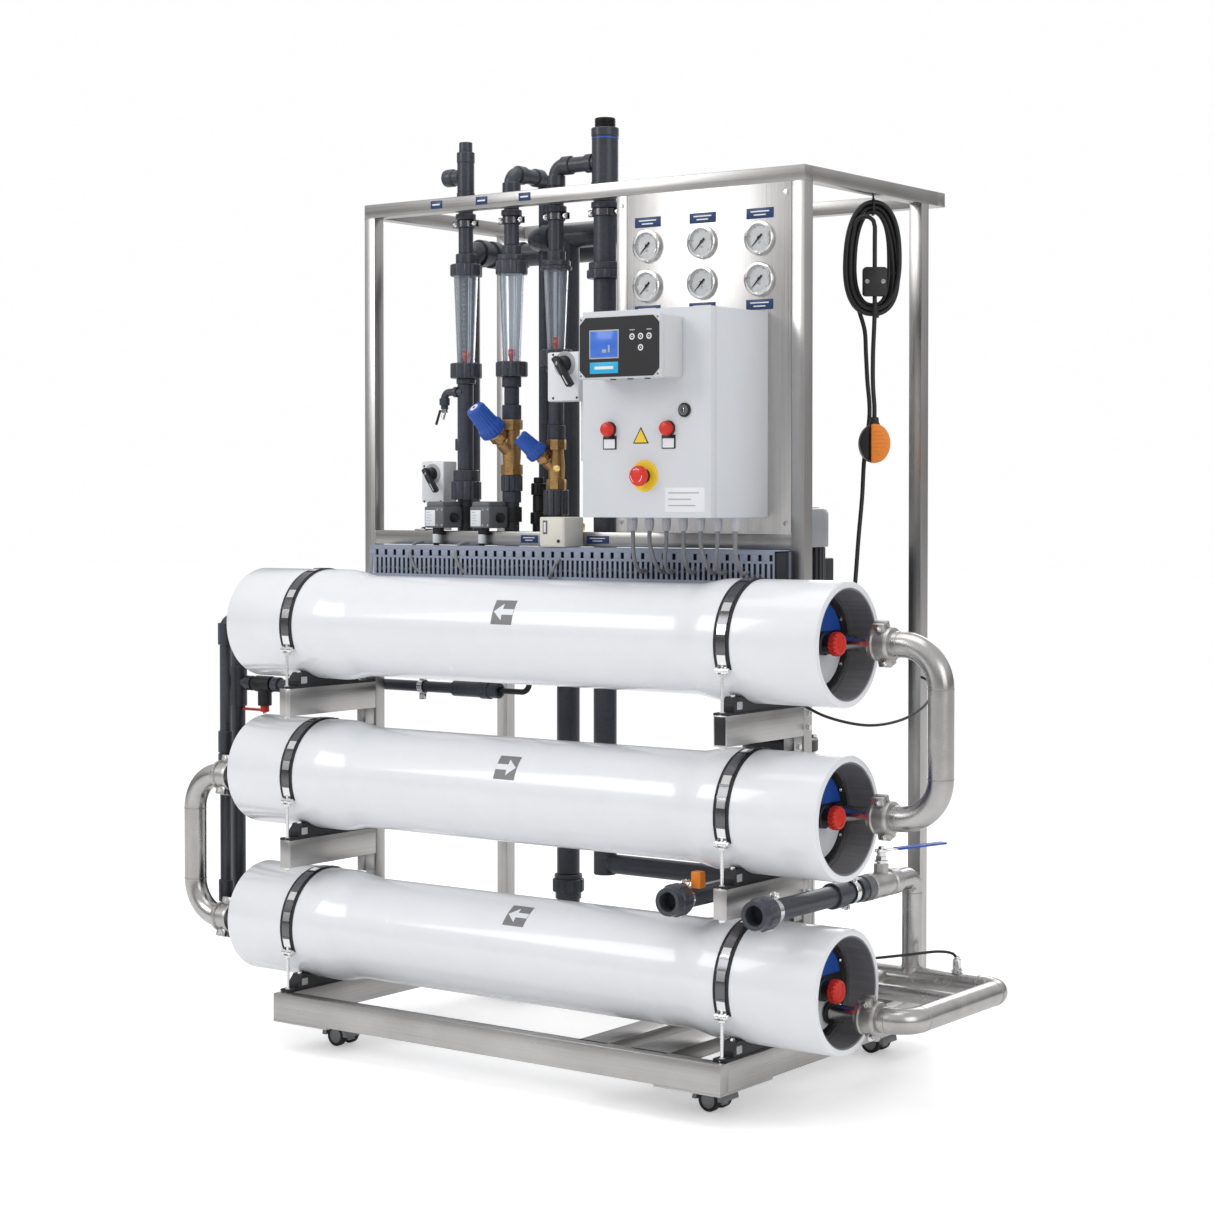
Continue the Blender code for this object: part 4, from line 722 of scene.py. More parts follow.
def end_head(name):
    """The right end plug: disc, snap ring, two-tone sticker, red cap and the stub of the port."""
    height = VESSELS[name]
    face = -0.06
    head = Piece(f"end_plug_{name}")
    centre = Vector((0, 0, height))
    disc = [(0, -0.095), (BORE - 0.0008, -0.095), (BORE - 0.0008, face - 0.002), (BORE - 0.003, face),
        (0.088, face), (0.086, face - 0.003), (0.03, face - 0.003), (0, face - 0.003)]
    head.turned(disc, centre, X_AXIS, BLACK, 72)
    head.ring(centre, X_AXIS, 0.0925, BORE - 0.0006, face, face + 0.005, CAST, 72)
    plane = facing(centre + X_AXIS * (face - 0.0035), X_AXIS)
    head.prism(segment(0.08, 0.022, True), 0.0012, plane, BLUE)
    head.prism(segment(0.08, 0.022, False), 0.0012, plane, PAPER)
    for angle in evenly(6, 30):
        spot = centre + Vector((face, 0.0845 * math.cos(angle), 0.0845 * math.sin(angle)))
        head.bolt(spot, X_AXIS, 0.0035)
    neck = [(0, face - 0.002), (0.0215, face - 0.002), (0.0215, face + 0.012), (0.0185, face + 0.014),
        (0.0185, -0.03), (0, -0.03)]
    head.turned(neck, centre, X_AXIS, BLACK, 48)
    cap = [(0, -0.031), (0.0225, -0.031, 1), (0.0225, -0.0195, 1), (0.0195, -0.016), (0.0155, -0.0155),
        (0.0145, -0.0175), (0.006, -0.0175), (0.005, -0.0158), (0, -0.0156)]
    head.turned(cap, centre, X_AXIS, RED, 96, 16, 0.0016)
    across, up, end = PORTS[name]
    spot = centre + Vector((0, across, up))
    head.rod(spot + X_AXIS * -0.07, spot + X_AXIS * (end - 0.0002), PORT_RADIUS, PICKLED, 40)
    head.ring(spot, X_AXIS, PORT_RADIUS - 0.0005, PORT_RADIUS + 0.005, face, face + 0.006, BLACK, 40)
    head.done("frame", [f"end_head_{name}"])


LEFT_PORTS = {"top": [(PORT, 0.0, 0.016)], "middle": [(-PORT, -0.015, PORT_RADIUS)],
    "bottom": [(-PORT, -0.0055, PORT_RADIUS)]}


def element(name):
    """The membrane element, and the left end plug with its ports."""
    height = VESSELS[name]
    centre = Vector((0, 0, height))
    left = -VESSEL_LENGTH + 0.06
    made = Piece(f"element_and_plug_{name}")
    wrap = [(0, -0.0955), (0.1, -0.0955), (0.1, left + 0.05), (0, left + 0.05)]
    made.turned(wrap, centre, X_AXIS, MEMBRANE, 64)
    made.rod(centre + X_AXIS * (left + 0.052), centre + X_AXIS * (left + 0.033), 0.014, PVC, 32)
    plug = [(0, left + 0.035), (BORE - 0.0008, left + 0.035), (BORE - 0.0008, left + 0.002),
        (BORE - 0.003, left), (0.088, left), (0.086, left + 0.003), (0, left + 0.003)]
    made.turned(plug, centre, X_AXIS, BLACK, 72)
    made.ring(centre, X_AXIS, 0.0925, BORE - 0.0006, left - 0.005, left, SENSOR, 72)
    for across, up, radius in [(0.0, 0.0, 0.0125), *LEFT_PORTS[name]]:
        spot = centre + Vector((0, across, up))
        finish_of_port = PVC if radius < PORT_RADIUS else PICKLED
        made.rod(spot + X_AXIS * (left + 0.01), spot + X_AXIS * -1.529, radius, finish_of_port, 40)
        made.ring(spot, X_AXIS, radius - 0.0005, radius + 0.006, left - 0.005, left + 0.003, BLACK, 40)
    made.done("frame", [f"membrane_element_{name}"])


def coupling(piece, centre, direction, lean=0.0):
    """A cast grooved-pipe coupling: two ribbed halves held by two bolts."""
    centre = Vector(centre)
    along = Vector(direction).normalized()
    body = [(PORT_RADIUS + 0.0004, -0.0212), (0.0305, -0.0212), (0.0318, -0.0185), (0.0318, -0.0125),
        (0.0285, -0.0105), (0.0285, 0.0105), (0.0318, 0.0125), (0.0318, 0.0185), (0.0305, 0.0212),
        (PORT_RADIUS + 0.0004, 0.0212)]
    piece.turned(body, centre, along, CAST, 56, closed=True)
    tilt = Matrix.Rotation(lean, 3, along)
    up = tilt @ Z_AXIS
    side = along.cross(up)
    for sign in (-1, 1):
        lug = centre + up * sign * 0.0345
        rows = Matrix((along, side, up)).transposed().to_4x4()
        place = Matrix.Translation(lug) @ rows
        piece.box((-0.0135, -0.0115, -0.0085), (0.0135, -0.001, 0.0085), CAST, 0.0022, place)
        piece.box((-0.0135, 0.001, -0.0085), (0.0135, 0.0115, 0.0085), CAST, 0.0022, place)
        piece.rod(lug - side * 0.019, lug + side * 0.018, 0.0035, CHROME, 16)
        piece.bolt(lug + side * 0.0115, side, 0.006)
        piece.bolt(lug - side * 0.0115, -side, 0.006)


def weld(piece, centre, direction, radius):
    """The low bead of a weld round a pipe."""
    piece.ring(centre, direction, radius - 0.001, radius + 0.0005, -0.0011, 0.0011, WELD, 48, 0.0004)


def return_bends():
    """The two stainless U bends, each with its pair of couplings."""
    top = VESSELS["top"]
    middle = VESSELS["middle"]
    right = Piece("return_bend_right_pipe")
    leg = 0.1586
    corners = [(0.041, PORT, top), (leg, PORT, top), (leg, PORT, middle), (0.041, PORT, middle)]
    right.tube(arc_path(corners, 0.078, 18), STEEL_PIPE, PICKLED, 48)
    for height in (top, middle):
        coupling(right, (0.04, PORT, height), X_AXIS, math.radians(20))
        weld(right, (0.075, PORT, height), X_AXIS, STEEL_PIPE)
        toward = -0.078 if height == top else 0.078
        weld(right, (leg, PORT, height + toward), Z_AXIS, STEEL_PIPE)
    right.done("frame", ["return_bend_right"])
    left = Piece("return_bend_left_pipe")
    high = middle - 0.015
    low = VESSELS["bottom"] - 0.0055
    leg = -1.6256
    corners = [(-1.531, -PORT, high), (leg, -PORT, high), (leg, -PORT, low), (-1.531, -PORT, low)]
    left.tube(arc_path(corners, 0.078, 18), STEEL_PIPE, PICKLED, 48)
    for height, toward in ((high, -0.078), (low, 0.078)):
        coupling(left, (-1.53, -PORT, height), X_AXIS, math.radians(-15))
        weld(left, (leg, -PORT, height + toward), Z_AXIS, STEEL_PIPE)
    left.done("frame", ["return_bend_left"])


def strap(name, index, x, arm_top):
    """A steel band on rubber over the vessel, pulled down on both sides by threaded rods."""
    height = VESSELS[name]
    made = Piece(f"strap_{name}_{index}")

    def band(inner, outer, half_width, start, end, material):
        rings = []
        steps = max(2, round((end - start) / 4))
        for step in range(steps + 1):
            angle = math.radians(start + (end - start) * step / steps)
            ring = []
            corners = ((-half_width, inner), (-half_width, outer), (half_width, outer), (half_width, inner))
            for across, reach in corners:
                ring.append(Vector((x + across, -reach * math.cos(angle), height + reach * math.sin(angle))))
            rings.append(ring)
        made.loft(rings, material)

    band(0.1169, 0.1186, 0.017, -24, 204, RUBBER)
    band(0.1184, 0.1196, 0.0105, -20, 200, STRAP)
    for start in (-19, 8, 30, 72, 108, 150, 176):
        band(0.119, 0.1201, 0.0092, start, start + 9, CHROME)
        band(0.119, 0.1206, 0.0108, start + 9, start + 11, STRAP)
        band(0.119, 0.1206, 0.0108, start - 2, start, STRAP)
    for side in (-1, 1):
        y = side * 0.1125
        z = height - 0.05
        made.rod((x - 0.015, y, z), (x + 0.015, y, z), 0.0058, CHROME, 28)
        made.ring((x, y, z), X_AXIS, 0.005, 0.0075, -0.012, -0.006, CHROME, 24)
        made.ring((x, y, z), X_AXIS, 0.005, 0.0075, 0.006, 0.012, CHROME, 24)
        made.rod((x, y, z + 0.012), (x, y, arm_top), 0.0032, CHROME, 16)
        made.bolt((x, y, z - 0.006), -Z_AXIS, 0.0065)
        made.bolt((x, y, arm_top), Z_AXIS, 0.0062)
        for thread in range(8):
            level = z - 0.016 - 0.0055 * thread
            made.ring((x, y, level), Z_AXIS, 0.0028, 0.0037, -0.0009, 0.0009, CHROME, 16, 0.0003)
    made.done("frame")


# ---------------------------------------------------------------- frame

def beam(piece, low, high, along, edge=0.0016):
    piece.box(low, high, STEEL[along], edge)


def seat_outline(height):
    """The side view of a saddle, with the vessel's round seat in its top."""
    reach = BELL + 0.0008
    half = math.asin(0.062 / reach)
    points = [(-0.095, -0.132), (0.095, -0.132), (0.095, -0.1165), (0.08, -0.1), (0.062, -0.1)]
    for step in range(1, 16):
        angle = half - 2 * half * step / 16
        points.append((reach * math.sin(angle), -reach * math.cos(angle)))
    points += [(-0.062, -0.1), (-0.08, -0.1), (-0.095, -0.1165)]
    return [(y, height + z) for y, z in points]


def saddle(piece, x, height):
    place = Matrix.Translation((x - 0.0148, 0, 0)) @ Matrix(((0, 0, 1, 0), (1, 0, 0, 0), (0, 1, 0, 0),
        (0, 0, 0, 1)))
    piece.prism(seat_outline(height), 0.0296, place, BLACK)
    piece.box((x - 0.0158, -0.1195, height - 0.1325), (x + 0.0158, 0.15, height - 0.1275), RUBBER, 0.0008)
    piece.box((x - 0.0153, -0.086, height - 0.124), (x + 0.0153, -0.066, height - 0.108), PRINT_GREY, 0.002)
    for y in (-0.076, 0.076):
        piece.bolt((x, y, height - 0.1005), Z_AXIS, 0.0045)


def saddle_centres():
    return (LEFT + TUBE / 2, RIGHT - TUBE / 2)


def main_frame():
    """Posts, rails and vessel arms of brushed square tube, with brackets, saddles and weld seams."""
    made = Piece("frame_upper")
    back = FACE + TUBE
    beam(made, (LEFT, FACE, TOP - TUBE), (RIGHT, back, TOP), "x")
    beam(made, (LEFT, BACK - TUBE, TOP - TUBE), (RIGHT, BACK, TOP), "x")
    beam(made, (LEFT + 0.029, FACE, MID_TOP - TUBE), (RIGHT - 0.029, back, MID_TOP), "x")
    spans = ((LEFT, LEFT + TUBE), (RIGHT - TUBE, RIGHT))
    for left, right in spans:
        beam(made, (left, back - 0.001, TOP - TUBE), (right, BACK - TUBE + 0.001, TOP), "y")
        for front in (FACE, POST_BACK):
            beam(made, (left, front, BASE_TOP + 0.0003), (right, front + TUBE, TOP - TUBE + 0.0005), "z")
            made.box((left - 0.0003, front - 0.0003, TOP - TUBE - 0.0012),
                (right + 0.0003, front + TUBE + 0.0003, TOP - TUBE + 0.0006), WELD, 0.0004)
        inner = right if left == LEFT else left
        made.box((inner - 0.0012, FACE - 0.0002, MID_TOP - TUBE), (inner + 0.0012, back, MID_TOP), WELD,
            0.0003)
        for name in ("top", "middle"):
            arm_top = VESSELS[name] - 0.132
            low = arm_top - DEEP_TUBE
            beam(made, (left, -0.12, low), (right, FACE + 0.0004, arm_top), "y")
            plug = STEEL["z"] if (left == LEFT or name == "middle") else BLACK
            made.box((left + 0.0025, -0.1206, low + 0.0025), (right - 0.0025, -0.118, arm_top - 0.0025),
                plug, 0.001)
            made.box((left + 0.003, 0.12, low - 0.035), (right - 0.003, back - 0.01, low + 0.01),
                STEEL["z"], 0.001)
            side = right if left != LEFT else left
            way = X_AXIS if left != LEFT else -X_AXIS
            made.bolt((side - way.x * 0.0032, 0.135, low - 0.02), way, 0.006)
            made.bolt((side, 0.166, low + 0.016), way, 0.006)
            made.bolt((side, 0.166, arm_top - 0.014), way, 0.006)
            made.bolt(((left + right) / 2, -0.1125, low), -Z_AXIS, 0.006)
            saddle(made, (left + right) / 2, VESSELS[name])
    made.turned([(0, 0), (0.0105, 0), (0.0105, 0.006), (0.009, 0.007), (0.009, 0.017), (0.0065, 0.0218),
        (0, 0.0218)], GLAND, Y_AXIS, BLACK, 32)
    made.done("frame", ["main_frame"])


def base_frame():
    """The base of deep tube with its cross rails, corner plates and the bottom vessel's saddles."""
    made = Piece("frame_base")
    beam(made, (LEFT, BASE_FRONT, BASE_LOW), (RIGHT, BASE_FRONT + TUBE, BASE_TOP), "x")
    beam(made, (LEFT, BACK - TUBE, BASE_LOW), (RIGHT, BACK, BASE_TOP), "x")
    for left, right in ((LEFT, LEFT + TUBE), (RIGHT - TUBE, RIGHT)):
        beam(made, (left, BASE_FRONT + TUBE - 0.001, BASE_LOW), (right, BACK - TUBE + 0.001, BASE_TOP), "y")
        saddle(made, (left + right) / 2, VESSELS["bottom"])
    for left, right in ((-0.53, -0.461), (-0.406, -0.321)):
        beam(made, (left, BASE_FRONT + 0.02, BASE_TOP - TUBE), (right, BACK - 0.02, BASE_TOP), "y")
    for left, right in ((LEFT, LEFT + 0.15), (RIGHT - 0.15, RIGHT)):
        for front, back in ((BASE_FRONT, 0.04), (0.528, BACK)):
            beam(made, (left, front, BASE_LOW - 0.004), (right, back, BASE_LOW + 0.0008), "x", 0.0006)
            for x in (left + 0.038, right - 0.038):
                for y in (front + 0.05, back - 0.03):
                    made.bolt((x, y, BASE_LOW), Z_AXIS, 0.006)
    made.done("frame", ["base_frame"])


def casters():
    """Twin-wheel casters: a hood, a swivel stem, and two tyred wheels on one axle."""
    number = 1
    for y in (-0.021, 0.588):
        for x in (-1.2245, -0.277):
            yoke = Piece(f"caster_hood_{number}")
            axle = Vector((x, y, 0.022))
            stem = x + 0.014
            outline = []
            for step in range(25):
                angle = math.pi * step / 24
                outline.append((0.034 * math.cos(angle), 0.03 * math.sin(angle)))
            for step in range(21):
                angle = math.pi * (1 - step / 20)
                outline.append((0.0245 * math.cos(angle), 0.0245 * math.sin(angle)))
            place = Matrix.Translation(axle - Y_AXIS * -0.029) @ Matrix.Rotation(math.radians(90), 4, "X")
            yoke.prism(outline, 0.058, place, HOOD)
            yoke.box(axle + Vector((-0.018, -0.0105, -0.01)), axle + Vector((0.024, 0.0105, 0.028)), HOOD,
                0.002)
            yoke.rod((stem, y, 0.045), (stem, y, 0.0575), 0.0188, CHROME, 36)
            yoke.ring((stem, y, 0.0), Z_AXIS, 0.01, 0.02, 0.0515, 0.0545, HOOD, 36)
            yoke.done(f"caster_{number}", [f"caster_yoke_{number}"])
            wheels = Piece(f"caster_tyres_{number}")
            for side in (-1, 1):
                tyre = [(0.0155, 0.0122), (0.0205, 0.0122), (0.022, 0.014), (0.022, 0.025),
                    (0.0205, 0.0268), (0.0155, 0.0268)]
                hub = [(0, 0.0128), (0.0157, 0.0128), (0.0157, 0.0255), (0.012, 0.0245), (0.006, 0.026),
                    (0, 0.0262)]
                wheels.turned(tyre, axle, Y_AXIS * side, RUBBER, 44, closed=True)
                wheels.turned(hub, axle, Y_AXIS * side, HOOD, 32)
            wheels.rod(axle - Y_AXIS * 0.024, axle + Y_AXIS * 0.024, 0.0039, CHROME, 20)
            wheels.done(f"caster_{number}_wheels", [f"caster_wheels_{number}"])
            number += 1


# ---------------------------------------------------------------- pipework

def stack(piece, x, y, sections, material, sides=40):
    """Round sections on one upright line; a section with a True behind it is a ribbed union nut."""
    for low, high, radius, *ribbed in sections:
        edge = min(0.0014, (high - low) / 4)
        if ribbed:
            profile = [(0, low), (radius - 0.002, low), (radius, low + 0.002, 1), (radius, high - 0.002, 1),
                (radius - 0.003, high), (0, high)]
            piece.turned(profile, (x, y, 0), Z_AXIS, material, 96, 12, 0.0026)
        else:
            profile = [(0, low), (radius - edge, low), (radius, low + edge), (radius, high - edge),
                (radius - edge, high), (0, high)]
            piece.turned(profile, (x, y, 0), Z_AXIS, material, sides)


def line(piece, corners, radius, material, bend=0.0, sides=32):
    piece.tube(arc_path(corners, bend, 12) if bend else corners, radius, material, sides)


def collar(piece, centre, direction, radius, half, material=None):
    """A socket or collar pushed over a pipe."""
    made_of = material or PVC
    profile = [(0, -half), (radius - 0.0012, -half), (radius, -half + 0.0012), (radius, half - 0.0012),
        (radius - 0.0012, half), (0, half)]
    piece.turned(profile, centre, direction, made_of, 36)


def sockets(piece, corners, radius, reach):
    """Elbow fittings at every inner corner of a glued PVC line."""
    corners = [Vector(c) for c in corners]
    for before, corner, after in zip(corners, corners[1:], corners[2:]):
        for other in (before, after):
            way = (other - corner).normalized()
            collar(piece, corner + way * reach, way, radius, 0.011)


def permeate_header():
    """The upright PVC line on the left that gathers the permeate."""
    made = Piece("permeate_header_pipe")
    x = -1.592
    top = VESSELS["top"]
    low = VESSELS["bottom"]
    corners = [(-1.5294, 0, top), (x, 0, top), (x, 0, low), (-1.5294, 0, low)]
    line(made, corners, 0.0125, PVC, 0.02)
    line(made, [(-1.5294, 0, 0.571), (x, 0, 0.571)], 0.0119, PVC)
    sockets(made, corners, 0.016, 0.028)
    for z in (0.86, 0.621, 0.571, 0.291):
        collar(made, (x, 0, z), Z_AXIS, 0.0165, 0.024)
    collar(made, (x + 0.016, 0, 0.571), X_AXIS, 0.016, 0.01)
    made.done("frame", ["permeate_header"])


def clamp(piece, centre, direction, radius, lean=0.0, metal=None):
    """A pipe clamp: a steel band with a rubber lining and two bolted ears."""
    centre = Vector(centre)
    along = Vector(direction).normalized()
    band = metal or CHROME
    piece.ring(centre, along, radius - 0.0005, radius + 0.0018, -0.009, 0.009, RUBBER, 40)
    piece.ring(centre, along, radius + 0.0012, radius + 0.0032, -0.007, 0.007, band, 40)
    up = Matrix.Rotation(lean, 3, along) @ (Z_AXIS if abs(along.z) < 0.5 else Y_AXIS)
    side = along.cross(up)
    rows = Matrix((along, side, up)).transposed().to_4x4()
    for sign in (-1, 1):
        place = Matrix.Translation(centre + up * sign * (radius + 0.009)) @ rows
        piece.box((-0.007, -0.0042, -0.007), (0.007, -0.0022, 0.007), band, 0.0006, place)
        piece.box((-0.007, 0.0022, -0.007), (0.007, 0.0042, 0.007), band, 0.0006, place)
        spot = centre + up * sign * (radius + 0.0095)
        piece.rod(spot - side * 0.01, spot + side * 0.01, 0.0022, CHROME, 12)
        piece.bolt(spot + side * 0.0042, side, 0.0042)
        piece.bolt(spot - side * 0.0042, -side, 0.0042)


def outlet(piece, x, front, z):
    """The union nut at an outlet's end; its open socket is a near-black disc of painted shade."""
    profile = [(0.0185, front + 0.03), (0.0185, front + 0.0015), (0.02, front), (0.0265, front),
        (0.0285, front + 0.012), (0.0285, front + 0.018)]
    nut = [(-y, r) for r, y in profile]
    piece.turned([(r, h) for h, r in nut] + [(0.0185, -(front + 0.03))], (x, 0, z), FRONT, PVC, 48,
        closed=True)
    grips = [(0.018, -(front + 0.046)), (0.03, -(front + 0.046)), (0.0315, -(front + 0.043), 1),
        (0.0315, -(front + 0.018), 1), (0.0285, -(front + 0.015)), (0.018, -(front + 0.015))]
    piece.turned(grips, (x, 0, z), FRONT, PVC, 96, 8, 0.0022, closed=True)
    # a near-black disc of painted shade fills the socket's mouth
    piece.turned([(0, -(front + 0.046)), (0.019, -(front + 0.046)), (0.019, -(front + 0.03)),
        (0, -(front + 0.03))], (x, 0, z), FRONT, DARK, 40)


def feed_manifold():
    """The stainless feed pipes, the bypass, and the flushing outlet with its ball valve."""
    made = Piece("feed_pipes")
    port = Vector((0.03, 0.033, 0.203))
    run_y = 0.405
    low = 0.203
    outlet_x = -0.09
    outlet_z = 0.408
    line(made, [(0.031, 0.033, low), (0.109, 0.033, low), (0.109, run_y, low), (-0.3095, run_y, low)],
        STEEL_PIPE, PICKLED, 0.04, 48)
    line(made, [(0.109, 0.26, low), (-0.15, 0.26, low), (-0.15, run_y, low)], 0.015, PICKLED, 0.025)
    line(made, [(outlet_x, run_y, low), (outlet_x, run_y, outlet_z), (outlet_x, 0.33, outlet_z)], 0.021,
        PICKLED, 0.03, 40)
    coupling(made, port, X_AXIS, math.radians(20))
    for spot in ((0.068, 0.033, low), (0.06, run_y, low), (-0.2, run_y, low)):
        weld(made, spot, X_AXIS, STEEL_PIPE)
    for y in (0.075, 0.363):
        weld(made, (0.109, y, low), Y_AXIS, STEEL_PIPE)
    weld(made, (outlet_x, run_y, low + 0.026), Z_AXIS, 0.021)
    weld(made, (outlet_x, run_y, outlet_z - 0.032), Z_AXIS, 0.021)
    valve = [(0, 0.225), (0.023, 0.225), (0.026, 0.228), (0.026, 0.248), (0.0225, 0.252),
        (0.024, 0.262), (0.0258, 0.272), (0.0258, 0.288), (0.024, 0.298), (0.0225, 0.306),
        (0.0258, 0.309), (0.0258, 0.332), (0.0235, 0.335), (0, 0.335)]
    made.turned(valve, (outlet_x, 0, outlet_z), Y_AXIS, CAST, 48)
    made.rod((outlet_x, 0.28, outlet_z + 0.018), (outlet_x, 0.28, outlet_z + 0.04), 0.015, CAST, 8)
    made.rod((outlet_x, 0.28, outlet_z + 0.036), (outlet_x, 0.28, outlet_z + 0.062), 0.0088, CHROME, 24)
    made.bolt((outlet_x, 0.28, outlet_z + 0.044), Z_AXIS, 0.0118)
    made.rod((outlet_x, 0.231, outlet_z), (outlet_x, -0.139, outlet_z), 0.02, PVC, 40)
    collar(made, (outlet_x, 0.214, outlet_z), Y_AXIS, 0.0255, 0.013, SENSOR)
    collar(made, (outlet_x, 0.188, outlet_z), Y_AXIS, 0.024, 0.01)
    collar(made, (outlet_x, 0.11, outlet_z), Y_AXIS, 0.025, 0.02)
    clamp(made, (outlet_x, 0.16, outlet_z), Y_AXIS, 0.0203, 0.3)
    clamp(made, (outlet_x, -0.118, outlet_z), Y_AXIS, 0.0205, 0.2)
    outlet(made, outlet_x, -0.18, outlet_z)
    made.rod((0.01, run_y, low), (0.01, run_y, low + 0.05), 0.0088, CHROME, 24)
    made.bolt((0.01, run_y, low + 0.026), Z_AXIS, 0.01)
    flange = [(0, 0), (0.0435, 0), (0.045, 0.0015), (0.045, 0.0125), (0.0435, 0.0138), (0, 0.0138)]
    made.turned(flange, (-0.3097, run_y, low), X_AXIS, CAST, 48)
    for angle in evenly(4, 45):
        spot = Vector((-0.2959, run_y + 0.034 * math.cos(angle), low + 0.034 * math.sin(angle)))
        made.bolt(spot, X_AXIS, 0.0065)
    made.done("frame", ["feed_manifold"])
    lever = Piece("ball_valve_grip")
    place = Vector((outlet_x, 0.28, outlet_z + 0.0623))
    heading = Vector((0.05, 0.177, 0.0)).normalized()
    turn = Matrix.Translation(place) @ Matrix.Rotation(math.atan2(heading.y, heading.x), 4, "Z")
    lever.rod(place, place + Z_AXIS * 0.0055, 0.0128, CHROME, 32)
    lever.bolt(place + Z_AXIS * 0.005, Z_AXIS, 0.0065)
    lever.box((-0.006, -0.0075, 0.0012), (0.06, 0.0075, 0.004), CHROME, 0.0008, turn)
    lever.box((0.04, -0.0098, 0.0006), (0.1745, 0.0098, 0.0052), BLUE, 0.0022, turn)
    lever.done("ball_valve_lever", ["ball_valve_lever"])


def pump():
    """The vertical multistage pump: foot, stage sleeve, lantern, finned motor and terminal box."""
    made = Piece("pump_and_motor")
    x, y = -0.4, 0.405
    bottom = BASE_TOP + 0.0003
    made.box((x - 0.125, y - 0.085, bottom), (x + 0.075, y + 0.085, bottom + 0.016), PUMP, 0.003)
    body = [(0, bottom + 0.01), (0.064, bottom + 0.01), (0.068, bottom + 0.02), (0.068, 0.25),
        (0.064, 0.262), (0.06, 0.265), (0, 0.265)]
    made.turned(body, (x, y, 0), Z_AXIS, PUMP, 56)
    made.turned([(0, 0.264), (0.06, 0.264), (0.06, 0.641), (0, 0.641)], (x, y, 0), Z_AXIS, STEEL["z"], 64)
    made.turned([(0, 0.64), (0.076, 0.64), (0.078, 0.642), (0.078, 0.663), (0.076, 0.665), (0.054, 0.668),
        (0.056, 0.746), (0, 0.746)], (x, y, 0), Z_AXIS, PUMP, 56)
    for angle in evenly(4, 45):
        rod_x = x + 0.0705 * math.cos(angle)
        rod_y = y + 0.0705 * math.sin(angle)
        made.rod((rod_x, rod_y, 0.25), (rod_x, rod_y, 0.664), 0.0045, CHROME, 16)
        made.bolt((rod_x, rod_y, 0.664), Z_AXIS, 0.0075)
    made.turned([(0, 0.745), (0.092, 0.745), (0.094, 0.748), (0.094, 0.762), (0.088, 0.766), (0, 0.766)],
        (x, y, 0), Z_AXIS, PUMP, 56)
    fins = [(0, 0.765), (0.092, 0.766, 1), (0.092, 1.058, 1), (0.086, 1.061), (0, 1.061)]
    made.turned(fins, (x, y, 0), Z_AXIS, PUMP, 288, 36, 0.007)
    made.turned([(0, 1.06), (0.0975, 1.06), (0.098, 1.062), (0.098, 1.128), (0.094, 1.137),
        (0.085, 1.1395), (0, 1.14)], (x, y, 0), Z_AXIS, COWL, 72)
    for ring_radius in (0.03, 0.042, 0.054, 0.066, 0.078):
        made.ring((x, y, 0), Z_AXIS, ring_radius - 0.002, ring_radius + 0.001, 1.138, 1.1405, RUBBER, 48)
    rear = y + 0.142
    made.box((x - 0.045, y + 0.07, 0.9), (x + 0.045, rear - 0.0025, 1.035), PUMP, 0.004)
    made.box((x - 0.041, rear - 0.003, 0.905), (x + 0.041, rear, 1.03), BLACK, 0.0012)
    for dx, z in ((-0.035, 0.912), (0.035, 0.912), (-0.035, 1.023), (0.035, 1.023)):
        made.bolt((x + dx, rear - 0.0005, z), Y_AXIS, 0.004)
    made.rod((x - 0.11, y, 0.203), (x + 0.0895, y, 0.203), 0.026, PUMP, 40)
    for start in (x + 0.0757, x - 0.11):
        made.turned([(0, 0), (0.0435, 0), (0.045, 0.0015), (0.045, 0.0125), (0.0435, 0.0138), (0, 0.0138)],
            (start, y, 0.203), X_AXIS, PUMP, 48)
    made.done("frame", ["pump"])


